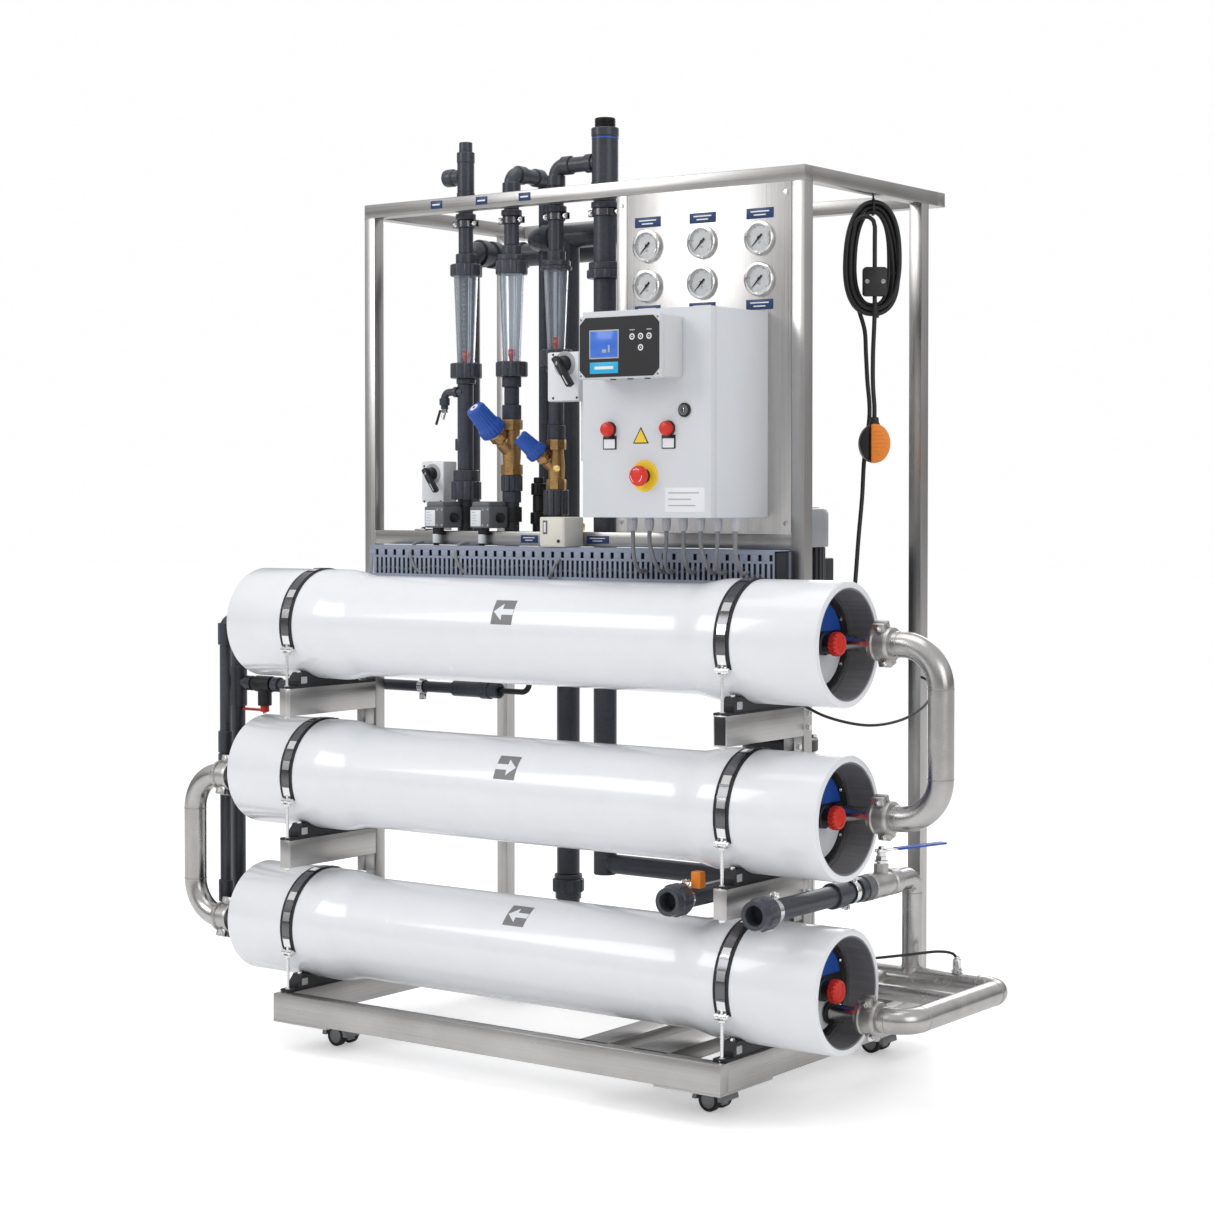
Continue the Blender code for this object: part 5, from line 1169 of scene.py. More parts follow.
def sensor(piece, x, index):
    """A transmitter: dark box with a white label, a round gland beside it and a plug below."""
    left = x - 0.048
    low = MID_TOP + 0.0022
    piece.box((left, 0.126, low + 0.004), (left + 0.054, 0.19, low + 0.05), SENSOR, 0.004)
    piece.box((left + 0.003, 0.129, low + 0.046), (left + 0.051, 0.187, low + 0.0605), SENSOR, 0.005)
    piece.box((left + 0.004, 0.1253, low + 0.008), (left + 0.031, 0.127, low + 0.042), PAPER, 0.0005)
    for row in range(5):
        level = low + 0.013 + row * 0.006
        piece.box((left + 0.007, 0.1249, level), (left + 0.018 + 0.004 * (row % 2), 0.1258, level + 0.0012),
            PRINT_GREY, 0.0002)
    for dx, dz in ((0.036, 0.01), (0.049, 0.01), (0.036, 0.043), (0.049, 0.043)):
        piece.bolt((left + dx, 0.1262, low + dz), FRONT, 0.0022)
    side = Vector((left + 0.0535, 0.158, low + 0.026))
    piece.rod(side, side + X_AXIS * 0.009, 0.0105, BLACK, 32)
    piece.rod(side + X_AXIS * 0.008, side + X_AXIS * 0.012, 0.0085, BLACK, 8)
    middle = x - 0.024
    piece.rod((middle, 0.145, low + 0.005), (middle, 0.145, low - 0.01), 0.012, BLACK, 32)
    piece.rod((middle, 0.1385, low - 0.009), (middle, 0.1385, low - 0.028), 0.008, PAPER, 28)
    piece.rod((middle, 0.1385, low - 0.027), (middle, 0.1385, low - 0.036), 0.0062, BLACK, 8)
    piece.rod((x - 0.016, 0.18, 1.125), (x - 0.004, COLUMN_Y, 1.125), 0.0138, BLACK, 32)
    piece.ring((x, COLUMN_Y, 1.125), Z_AXIS, 0.015, 0.0215, -0.016, 0.016, BLACK, 40)
    turn = 0.004 * index
    route = [(middle, 0.1385, low - 0.034), (middle, 0.136, low - 0.058),
        (middle + 0.004, 0.126, low - 0.076), (middle + 0.002, 0.106, low - 0.09 - turn),
        (middle - 0.01, 0.093, low - 0.088), (middle - 0.024, 0.088, low - 0.07),
        (middle - 0.033, 0.092, low - 0.048), (middle - 0.034, 0.106, low - 0.03),
        (middle - 0.029, 0.13, low - 0.026)]
    piece.tube(smooth_route(route, 0.004), 0.0035, CABLE_GREY, 16)


def valve(piece, index):
    """A bronze balancing valve with an inclined bonnet."""
    centre = (Vector((COLUMN_X[1], COLUMN_Y, 1.255)), Vector((COLUMN_X[2], COLUMN_Y, 1.218)))[index]
    scale = (1.0, 0.8)[index]
    direction = VALVE_WAYS[index]
    reach = 0.0605 * scale
    neck = [(0, 0), (0.0165 * scale, 0), (0.016 * scale, reach * 0.55), (0.0128 * scale, reach * 0.6),
        (0.0128 * scale, reach * 0.66), (0.0162 * scale, reach * 0.68), (0.0162 * scale, reach * 0.94),
        (0.014 * scale, reach), (0, reach)]
    piece.turned(neck, centre, direction, BRONZE, 40)
    piece.turned([(0.01 * scale, reach * 0.7), (0.0186 * scale, reach * 0.7),
        (0.0186 * scale, reach * 0.88), (0.01 * scale, reach * 0.88)], centre, direction, BRONZE, 6,
        closed=True)
    low, high = ((1.209, 1.326), (1.177, 1.282))[index]
    radius = 0.0175 * (1.0, 0.9)[index]
    x = COLUMN_X[index + 1]
    body = [(0, low + 0.01), (radius, low + 0.012), (radius * 1.13, (low + high) / 2 - 0.012),
        (radius * 1.13, (low + high) / 2 + 0.004), (radius, high - 0.03), (radius, high - 0.01),
        (0, high - 0.01)]
    piece.turned(body, (x, COLUMN_Y, 0), Z_AXIS, BRONZE, 44)
    for bottom, top in ((low, low + 0.022), (high - 0.021, high)):
        hexagon = [(0, bottom), (radius * 1.3, bottom), (radius * 1.34, bottom + 0.002),
            (radius * 1.34, top - 0.002), (radius * 1.3, top), (0, top)]
        piece.turned(hexagon, (x, COLUMN_Y, 0), Z_AXIS, BRONZE, 8)
    if index:
        plug = Vector((x, COLUMN_Y, (low + high) / 2)) + Vector((0.45, -0.6, -0.3)).normalized() * 0.01
        way = Vector((0.55, -0.7, -0.2)).normalized()
        piece.rod(plug, plug + way * 0.02, 0.0058, BRASS, 24)
        piece.bolt(plug + way * 0.018, way, 0.0062, BRASS)


VALVE_WAYS = (Vector((-0.22, -0.67, 0.707)).normalized(), Vector((-0.45, -0.6, 0.66)).normalized())


def handwheels():
    for index in range(2):
        scale = (1.0, 0.8)[index]
        centre = (Vector((COLUMN_X[1], COLUMN_Y, 1.255)), Vector((COLUMN_X[2], COLUMN_Y, 1.218)))[index]
        place = centre + VALVE_WAYS[index] * (0.0605 * scale + 0.0003)
        wheel = Piece(f"balancing_wheel_{index + 1}")
        profile = [(0, 0.0005), (0.025, 0.0005), (0.0288, 0.004, 1), (0.0288, 0.019, 1), (0.0245, 0.0255),
            (0.0238, 0.03, 1), (0.0212, 0.068, 1), (0.0185, 0.0725), (0.011, 0.0738), (0, 0.0738)]
        scaled = [(p[0] * scale, p[1] * scale, *p[2:]) for p in profile]
        wheel.turned(scaled, place, VALVE_WAYS[index], BLUE, 120, 20, 0.0013 * scale)
        top = 0.0732 * scale
        wheel.turned([(0, top), (0.0098 * scale, top), (0.0098 * scale, top + 0.0006), (0, top + 0.0008)],
            place, VALVE_WAYS[index], PAPER, 32)
        wheel.turned([(0, top), (0.0034 * scale, top), (0.003 * scale, top + 0.0012), (0, top + 0.0012)],
            place, VALVE_WAYS[index], BLACK, 24)
        wheel.done(f"valve_handwheel_{index + 1}", [f"valve_handwheel_{index + 1}"])


def column_foot(piece, x, radius, end_y, z):
    corners = [(x, COLUMN_Y, 1.165), (x, COLUMN_Y, z), (x, end_y, z)]
    line(piece, corners, radius, PVC, 0.03)


def columns():
    """Everything on the three flow meter columns below and above the meters."""
    x1, x2, x3 = COLUMN_X
    first = Piece("column_1_lower_pipe")
    stack(first, x1, COLUMN_Y, [(1.156, 1.196, 0.0325, True), (1.196, 1.22, 0.028), (1.22, 1.405, 0.016),
        (1.405, 1.417, 0.021), (1.417, METER_LOW[0] - 0.0003, 0.034, True)], PVC)
    line(first, [(x1, COLUMN_Y - 0.01, 1.388), (x1 - 0.052, COLUMN_Y - 0.01, 1.388),
        (x1 - 0.052, COLUMN_Y - 0.01, 1.352)], 0.008, PVC, 0.014)
    collar(first, (x1 - 0.019, COLUMN_Y - 0.01, 1.388), X_AXIS, 0.0115, 0.005)
    collar(first, (x1 - 0.052, COLUMN_Y - 0.01, 1.368), Z_AXIS, 0.0112, 0.008)
    first.rod((x1 - 0.052, COLUMN_Y - 0.01, 1.361), (x1 - 0.052, COLUMN_Y - 0.01, 1.344), 0.0068, CHROME,
        24)
    first.rod((x1 - 0.052, COLUMN_Y - 0.01, 1.346), (x1 - 0.054, COLUMN_Y - 0.014, 1.33), 0.0042, CHROME,
        20)
    first.rod((x1 - 0.058, COLUMN_Y - 0.017, 1.35), (x1 - 0.066, COLUMN_Y - 0.022, 1.318), 0.0028, BLACK, 16)
    first.box((x1 - 0.027, COLUMN_Y - 0.006, 1.262), (x1 - 0.012, COLUMN_Y + 0.006, 1.288), PVC, 0.002)
    column_foot(first, x1, 0.016, 0.2757, HEADER_Z)
    sensor(first, x1, 0)
    first.done("frame", ["column_lower_1"])

    second = Piece("column_2_lower_pipe")
    stack(second, x2, COLUMN_Y, [(1.15, 1.174, 0.02), (1.174, 1.209, 0.023, True),
        (1.326, 1.3575, 0.0205), (1.3575, 1.395, 0.016), (1.395, 1.417, 0.0205),
        (1.417, METER_LOW[1] - 0.0003, 0.034, True)], PVC)
    valve(second, 0)
    column_foot(second, x2, 0.016, 0.2757, HEADER_Z)
    sensor(second, x2, 1)
    second.done("frame", ["column_lower_2"])

    third = Piece("column_3_lower_pipe")
    stack(third, x3, COLUMN_Y, [(1.124, 1.177, 0.027, True), (1.1765, 1.2, 0.016),
        (1.282, 1.312, 0.019), (1.312, 1.424, 0.016), (1.424, 1.436, 0.021),
        (1.436, METER_LOW[2] - 0.0003, 0.034, True)], PVC)
    valve(third, 1)
    column_foot(third, x3, 0.016, 0.262, 0.86)
    low = Vector((x3 + 0.0515, 0.085, 1.06))
    high = Vector((x3 + 0.1155, FACE - 0.0003, 1.121))
    third.box(low, high, CREAM, 0.003)
    third.box((low.x + 0.003, low.y - 0.0012, low.z + 0.003), (high.x - 0.003, low.y + 0.001,
        high.z - 0.003), CREAM, 0.001)
    third.box((low.x + 0.01, low.y - 0.0024, low.z + 0.026), (low.x + 0.021, low.y, low.z + 0.054), SENSOR,
        0.0006)
    third.box((low.x + 0.013, low.y - 0.003, low.z + 0.03), (low.x + 0.018, low.y, low.z + 0.05), DIAL,
        0.0003)
    third.rod((low.x + 0.05, low.y - 0.0036, low.z + 0.012), (low.x + 0.05, low.y, low.z + 0.012), 0.0035,
        BLACK, 20)
    third.box((x3 + 0.012, 0.175, 1.0905), (x3 + 0.07, COLUMN_Y + 0.008, 1.108), BRASS, 0.003)
    third.rod((x3 + 0.0655, 0.14, 1.099), (x3 + 0.0655, 0.18, 1.099), 0.008, BRASS, 24)
    plug_x = low.x + 0.02
    third.rod((plug_x, 0.115, 1.062), (plug_x, 0.115, 1.046), 0.008, BLACK, 28)
    third.rod((plug_x, 0.115, 1.047), (plug_x, 0.115, 1.02), 0.0062, PAPER, 28)
    route = [(plug_x, 0.115, 1.022), (plug_x, 0.11, 1.005), (plug_x + 0.003, 0.088, 0.998),
        (plug_x + 0.014, 0.078, 1.004), (plug_x + 0.022, 0.078, 1.018), (plug_x + 0.026, 0.085, 1.03),
        (plug_x + 0.028, 0.096, 1.036)]
    third.tube(smooth_route(route, 0.004), 0.0035, CABLE_GREY, 16)
    third.done("frame", ["column_lower_3"])

    upper = Piece("column_1_upper_pipe")
    stack(upper, x1, COLUMN_Y, [(METER_HIGH[0] + 0.0003, 1.662, 0.034, True), (1.662, 1.684, 0.022),
        (1.684, 1.757, 0.016), (1.757, 1.7695, 0.022), (1.7695, 1.8, 0.016), (1.8, 1.816, 0.0195),
        (1.815, 1.88, 0.0185), (1.879, 1.9015, 0.0195), (1.9015, 1.923, 0.0145)], PVC)
    collar(upper, (x1 - 0.024, COLUMN_Y, 1.85), X_AXIS, 0.0165, 0.012)
    cap = [(0, 0.03), (0.0175, 0.03), (0.019, 0.033), (0.019, 0.05), (0.0175, 0.0545), (0.01, 0.056),
        (0, 0.056)]
    upper.turned(cap, (x1, COLUMN_Y, 1.85), -X_AXIS, PVC, 40)
    upper.done("frame", ["column_upper_1"])


def meters():
    """The clear tapered tubes with their guide rods and scales, and the red floats in them."""
    for index, x in enumerate(COLUMN_X):
        low = METER_LOW[index]
        high = METER_HIGH[index]
        tube = Piece(f"meter_glass_{index + 1}")
        profile = [(0.026, high), (0.019, low), (0.0165, low), (0.0235, high)]
        tube.turned(profile, (x, COLUMN_Y, 0), Z_AXIS, CLEAR, 64, closed=True)
        for step in range(3):
            angle = math.radians(90 + 120 * step)
            foot = Vector((x + 0.0135 * math.cos(angle), COLUMN_Y + 0.0135 * math.sin(angle), low))
            head = Vector((x + 0.019 * math.cos(angle), COLUMN_Y + 0.019 * math.sin(angle), high))
            tube.rod(foot, head, 0.0012, CLEAR, 12)
        tube.done("frame", [f"meter_tube_{index + 1}"])
        scale = Piece(f"meter_scale_{index + 1}")
        for step in range(15):
            share = 0.1 + 0.8 * step / 14
            level = low + (high - low) * share
            reach = 0.019 + 0.007 * share + 0.0002
            wide = 0.22 if step % 5 else 0.36
            ring_rows = []
            for part_of in range(7):
                angle = math.radians(-62) - wide / 2 + wide * part_of / 6
                out = Vector((math.cos(angle), math.sin(angle), 0))
                ring_rows.append([Vector((x, COLUMN_Y, level)) + out * (reach + r) + Z_AXIS * z for r,
                    z in ((-0.0002, -0.0004), (0.0002, -0.0004), (0.0002, 0.0004), (-0.0002, 0.0004))])
            scale.loft(ring_rows, PRINT_GREY)
        scale.done("frame")
        bottom = low + 0.0003
        shape = Piece(f"meter_float_body_{index + 1}")
        body = [(0, 0), (0.0038, 0.0003), (0.0054, 0.006), (0.0054, 0.01), (0.0078, 0.012)]
        for rib in range(4):
            level = 0.0125 + rib * 0.0034
            body += [(0.0079, level), (0.0079, level + 0.0018), (0.0066, level + 0.0022),
                (0.0066, level + 0.003)]
        body += [(0.006, 0.0258), (0, 0.026)]
        shape.turned(body, (x, COLUMN_Y, bottom), Z_AXIS, RED, 36)
        shape.done(f"meter_float_{index + 1}", [f"meter_float_{index + 1}"])


def rear_pipework():
    """The PVC behind the columns, the tops of columns 2 and 3, the riser and the lines below."""
    made = Piece("rear_pipes")
    x1, x2, x3 = COLUMN_X
    rear = 0.3
    riser = [(0.38, 1.612, 0.024), (1.612, 1.63, 0.038, True), (1.63, 1.645, 0.034),
        (1.645, 1.757, 0.024), (1.757, 1.7695, 0.029), (1.7695, 1.798, 0.024), (1.798, 1.812, 0.0288),
        (1.811, 1.905, 0.0276), (1.904, 1.9215, 0.0288)]
    stack(made, RISER_X, RISER_Y, riser, PVC, 56)
    made.ring((RISER_X, RISER_Y, 1.9), Z_AXIS, 0.027, 0.0282, -0.0012, 0.0012, BLUE_MARK, 56, 0.0003)
    thread = [(0, 1.9215), (0.0205, 1.9215)]
    for turn in range(6):
        level = 1.9225 + turn * 0.003
        thread += [(0.0205, level), (0.022, level + 0.001), (0.0205, level + 0.002)]
    thread += [(0.0205, 1.9415), (0.019, 1.942), (0, 1.942)]
    made.turned(thread, (RISER_X, RISER_Y, 0), Z_AXIS, BLACK, 56)
    for index, x, nut_top in ((1, x2, 1.675), (2, x3, 1.656)):
        start = METER_HIGH[index] + 0.0003
        stack(made, x, COLUMN_Y, [(start, nut_top - 0.012, 0.034, True), (nut_top - 0.012, nut_top, 0.03),
            (nut_top, nut_top + 0.02, 0.02), (nut_top + 0.02, 1.757, 0.016), (1.757, 1.7695, 0.022),
            (1.7695, 1.8, 0.016)], PVC)
    over_2 = [(x2, COLUMN_Y, 1.79), (x2, COLUMN_Y, 1.8465), (x2, 0.33, 1.8465), (x2, 0.33, HEADER_Z)]
    line(made, over_2, 0.016, PVC, 0.022)
    sockets(made, over_2, 0.0195, 0.03)
    over_3 = [(x3, COLUMN_Y, 1.79), (x3, COLUMN_Y, 1.852), (RISER_X, COLUMN_Y, 1.852)]
    line(made, over_3, 0.016, PVC, 0.022)
    sockets(made, over_3, 0.0195, 0.03)
    collar(made, (RISER_X - 0.035, COLUMN_Y, 1.852), X_AXIS, 0.0195, 0.009)
    b_x = -0.8677
    c_x = -1.1413
    big_x = -0.962
    cross_z = 0.24
    stack(made, b_x, rear, [(0.262, 0.303, 0.0245), (0.303, 0.318, 0.028), (0.318, 0.346, 0.034, True),
        (0.346, 0.356, 0.03), (0.356, 1.716, 0.0245)], PVC, 48)
    pipe_c = [(c_x, rear, 0.9), (c_x, rear, 1.7), (c_x, 0.43, 1.7), (b_x, 0.43, 1.7)]
    line(made, pipe_c, 0.025, PVC, 0.032, 48)
    sockets(made, pipe_c, 0.03, 0.044)
    big = [(big_x, 0.43, 1.716), (big_x, rear, 1.716), (RISER_X, rear, 1.716), (RISER_X, RISER_Y, 1.716)]
    line(made, big, 0.025, PVC, 0.032, 48)
    sockets(made, big, 0.03, 0.044)
    line(made, [(c_x + 0.004, rear, HEADER_Z), (b_x, rear, HEADER_Z)], 0.024, PVC, 0.0, 40)
    for x in (c_x, x1, x2, b_x):
        collar(made, (x, rear, HEADER_Z), X_AXIS, 0.0285, 0.02)
    line_x = -1.612
    left_line = [(-1.5294, PORT, 0.891), (line_x, PORT, 0.891), (line_x, PORT, cross_z),
        (line_x, rear, cross_z), (b_x, rear, cross_z), (b_x, rear, cross_z + 0.05)]
    line(made, left_line, 0.016, PVC, 0.03)
    sockets(made, left_line, 0.0195, 0.036)
    collar(made, (line_x, PORT, 0.7405), Z_AXIS, 0.02, 0.045)
    out_x = -0.32
    out_z = 0.403
    low_line = [(RISER_X, RISER_Y, out_z), (out_x, RISER_Y, out_z), (out_x, -0.08, out_z)]
    line(made, low_line, 0.02, PVC, 0.045, 40)
    outlet(made, out_x, -0.1205, out_z)
    clamp(made, (out_x, -0.066, out_z), Y_AXIS, 0.0205, 0.15)
    made.box((out_x + 0.012, -0.06, out_z + 0.02), (out_x + 0.034, -0.04, out_z + 0.052), ORANGE, 0.003)
    drain_z = 0.748
    drain = [(line_x, PORT, drain_z), (-1.375, PORT, drain_z), (-1.375, 0.212, drain_z),
        (-0.984, 0.212, drain_z)]
    line(made, drain, 0.012, PVC, 0.02)
    hose_x = -0.905
    hose = [(-0.99, 0.212, drain_z), (hose_x, 0.212, drain_z), (hose_x, 0.212, HEADER_Z - 0.015),
        (hose_x, rear - 0.01, HEADER_Z - 0.015)]
    line(made, hose, 0.006, CABLE, 0.02, 20)
    sockets(made, drain, 0.015, 0.024)
    collar(made, (-1.047, 0.212, drain_z), X_AXIS, 0.017, 0.063)
    collar(made, (-1.02, 0.212, drain_z), X_AXIS, 0.0195, 0.012)
    collar(made, (-1.575, PORT, drain_z), X_AXIS, 0.0165, 0.01)
    collar(made, (-1.53, PORT, drain_z), X_AXIS, 0.018, 0.024, BLACK)
    collar(made, (-1.492, PORT, drain_z), X_AXIS, 0.0165, 0.01)
    clamp(made, (-1.2, 0.212, drain_z), X_AXIS, 0.0123)
    made.rod((-1.53, PORT, drain_z), (-1.53, PORT, 0.7), 0.0155, BLACK, 36)
    for x in COLUMN_X:
        clamp(made, (x, COLUMN_Y, 1.748), Z_AXIS, 0.0163, math.radians(90), STRAP)
    clamp(made, (RISER_X, RISER_Y, 1.748), Z_AXIS, 0.0243, math.radians(90), STRAP)
    made.done("frame", ["rear_pipework"])
    handle = Piece("drain_handle_grip")
    place = Vector((-1.53, PORT, 0.6997))
    handle.rod(place, place - Z_AXIS * 0.0138, 0.0098, RED, 32)
    handle.box(place + Vector((-0.0655, -0.0058, -0.0128)), place + Vector((0.0038, 0.0058, -0.0072)), RED,
        0.0022)
    handle.bolt(place - Z_AXIS * 0.0135, -Z_AXIS, 0.0045)
    handle.done("drain_valve_handle", ["drain_valve_handle"])


# ---------------------------------------------------------------- gauge panel, duct and labels

GAUGE_X = (-0.556, -0.4235, -0.2894)
GAUGE_Z = (1.665, 1.585)
PANEL = (-0.632, -0.2173)


def label(piece, x, face, z, width, height, lines=1):
    """A dark plate with plain pale bars in place of words."""
    piece.box((x - width / 2, face - 0.0012, z - height / 2), (x + width / 2, face + 0.0002, z + height / 2),
        LABEL, 0.0003)
    pitch = height / (lines + 1)
    for row in range(lines):
        level = z + height / 2 - pitch * (row + 1)
        half = width * (0.34, 0.22)[row % 2]
        piece.box((x - half, face - 0.0016, level - pitch * 0.18), (x + half, face - 0.001,
            level + pitch * 0.18), PRINT, 0.0001)


def gauge(piece, x, z):
    """A pressure gauge: polished case, white dial with its scale, hub and glass."""
    centre = (x, FACE, z)
    case = [(0.0262, 0.0022), (0.0262, 0.0082), (0.0285, 0.0094), (0.0312, 0.009), (0.0328, 0.007),
        (0.033, 0.003), (0.033, -0.001), (0.029, -0.001), (0.029, 0.0022)]
    piece.turned(case, centre, FRONT, CHROME, 72, closed=True)
    piece.turned([(0, 0.0012), (0.0287, 0.0012), (0.0287, 0.0024), (0, 0.0024)], centre, FRONT, DIAL, 64)
    piece.turned([(0, -0.002), (0.0285, -0.002), (0.0285, -0.028), (0.027, -0.03), (0, -0.03)], centre,
        FRONT, BLACK, 48)
    piece.rod((x, FACE + 0.029, z), (x, FACE + 0.044, z), 0.007, BRASS, 6)
    for step in range(51):
        angle = math.radians(225 - 270 * step / 50)
        out = Vector((math.cos(angle), 0, math.sin(angle)))
        major = step % 10 == 0
        inner = 0.0205 if major else (0.0222 if step % 5 == 0 else 0.023)
        across = out.cross(FRONT)
        rows = Matrix((out, across, FRONT)).transposed().to_4x4()
        half = 0.0004 if major else 0.00018
        place = Matrix.Translation(Vector(centre)) @ rows
        piece.box((inner, -half, 0.00235), (0.0246, half, 0.0026), BLACK, 0.0, place)
    for wide, level in ((0.007, -0.0085), (0.0042, -0.011)):
        piece.box((x - wide / 2, FACE - 0.0026, z + level - 0.0004), (x + wide / 2, FACE - 0.0023,
            z + level + 0.0004), BLACK, 0.0)
    piece.rod((x, FACE - 0.0023, z), (x, FACE - 0.0034, z), 0.0022, BLACK, 24)
    piece.rod((x, FACE - 0.0046, z), (x, FACE - 0.0056, z), 0.003, BLACK, 24)


def gauge_panel():
    """The brushed panel with folded edges and its six gauges."""
    made = Piece("panel_and_gauges")
    low = MID_TOP + 0.0003
    high = TOP - TUBE - 0.0003
    made.box((PANEL[0], FACE, low), (PANEL[1], FACE + 0.002, high), STEEL["z"], 0.0004)
    made.box((PANEL[0], FACE - 0.0006, low), (PANEL[0] + 0.026, FACE + 0.0302, high), STEEL["z"], 0.001)
    for x in GAUGE_X:
        for z in GAUGE_Z:
            gauge(made, x, z)
        label(made, x + 0.0005, FACE, 1.7125, 0.062, 0.02, 2)
        label(made, x, FACE, 1.5355, 0.062, 0.02, 2)
    for x in (PANEL[0] + 0.013, PANEL[1] - 0.012):
        for z in (low + 0.02, high - 0.02):
            made.bolt((x, FACE - 0.0006, z), FRONT, 0.004)
    made.done("frame", ["gauge_panel"])
    glass = Piece("gauge_windows")
    for x in GAUGE_X:
        for z in GAUGE_Z:
            glass.turned([(0, 0.007), (0.0264, 0.007), (0.0264, 0.008), (0, 0.008)], (x, FACE, z), FRONT,
                GLASS, 48)
    glass.done("frame")
    plates = Piece("rail_labels")
    for x in (-1.108, -0.984, -0.869):
        label(plates, x, FACE, 1.7865, 0.03, 0.017, 1)
    for x, width in ((-0.857, 0.044), (-0.68, 0.056)):
        label(plates, x, FACE, 1.0745, width, 0.016, 2)
    plates.done("frame")
    for column in range(3):
        for row in range(2):
            paint(f"gauge_needle_{column + 1}_{row + 1}", BLACK)


def cable_duct():
    """A slotted wiring duct with its lid, standing on a steel ledge; a near-black box inside is painted
    shade.
    """
    made = Piece("wiring_duct")
    left = -1.2465
    right = -0.218
    front = 0.091
    low = 0.99
    high = 1.0592
    back = FACE - 0.0003
    made.box((left, front + 0.001, low), (right, back, low + 0.002), DUCT, 0.0004)
    made.box((left, back - 0.002, low + 0.001), (right, back, high - 0.004), DUCT, 0.0004)
    made.box((left, front, high - 0.009), (right, front + 0.002, high - 0.001), DUCT, 0.0005)
    made.box((left, front, high - 0.0022), (right, back, high), DUCT, 0.0005)
    made.box((left, front, low), (right, front + 0.002, low + 0.009), DUCT, 0.0005)
    made.box((left, front, low + 0.043), (right, front + 0.002, low + 0.048), DUCT, 0.0004)
    # a near-black box of painted shade fills the duct behind its slots
    made.box((left + 0.001, front + 0.012, low + 0.003), (right - 0.001, back - 0.004, high - 0.004), DARK,
        0.002)
    pitch = 0.0125
    count = int((right - left) / pitch)
    for step in range(count + 1):
        x = left + step * pitch
        made.box((x, front, low + 0.008), (min(x + 0.0062, right), front + 0.002, low + 0.044), DUCT, 0.0003)
        if step % 2 == 0:
            made.box((x, front, low + 0.047), (min(x + 0.017, right), front + 0.002, high - 0.008), DUCT,
                0.0003)
    for index in range(9):
        start = left + 0.01 + index * 0.118
        level = low + 0.016 + 0.003 * (index % 4)
        route = [(start, front + 0.0085, level), (start + 0.045, front + 0.0075, level + 0.006),
            (start + 0.09, front + 0.0088, level + 0.002), (start + 0.128, front + 0.008, level + 0.012)]
        made.tube(smooth_route([p for p in route if p[0] < right], 0.008), 0.0028, CABLE_GREY, 12)
    made.box((left + 0.002, front + 0.004, low - 0.0062), (right, FACE - 0.0002, low - 0.0003), STEEL["x"],
        0.0008)
    made.box((left + 0.13, front + 0.003, low - 0.01), (left + 0.17, front + 0.01, low - 0.003), BLACK,
        0.001)
    made.box((-0.86, front + 0.001, low - 0.0085), (-0.218, front + 0.006, low - 0.0015), BLACK, 0.0006)
    made.done("frame", ["cable_duct"])


# ---------------------------------------------------------------- control cabinet

def isolator_face(piece, centre, scale, width, height):
    """The cover of a rotary isolator: raised ring, screws and a small round plug."""
    x, y, z = centre
    piece.ring((x, y, z), FRONT, 0.0175 * scale, 0.0262 * scale, -0.0015, 0.0022, PRINT_GREY, 48)
    piece.rod((x, y + 0.001, z), (x, y - 0.0012, z), 0.018 * scale, SENSOR, 48)
    for dx, dz in ((-0.4, 0.2), (0.4, -0.7), (-0.4, -0.7)):
        spot = Vector((x + dx * width, y, z + dz * height))
        piece.rod(spot + Y_AXIS * 0.001, spot - Y_AXIS * 0.001, 0.0026, BLACK, 20)


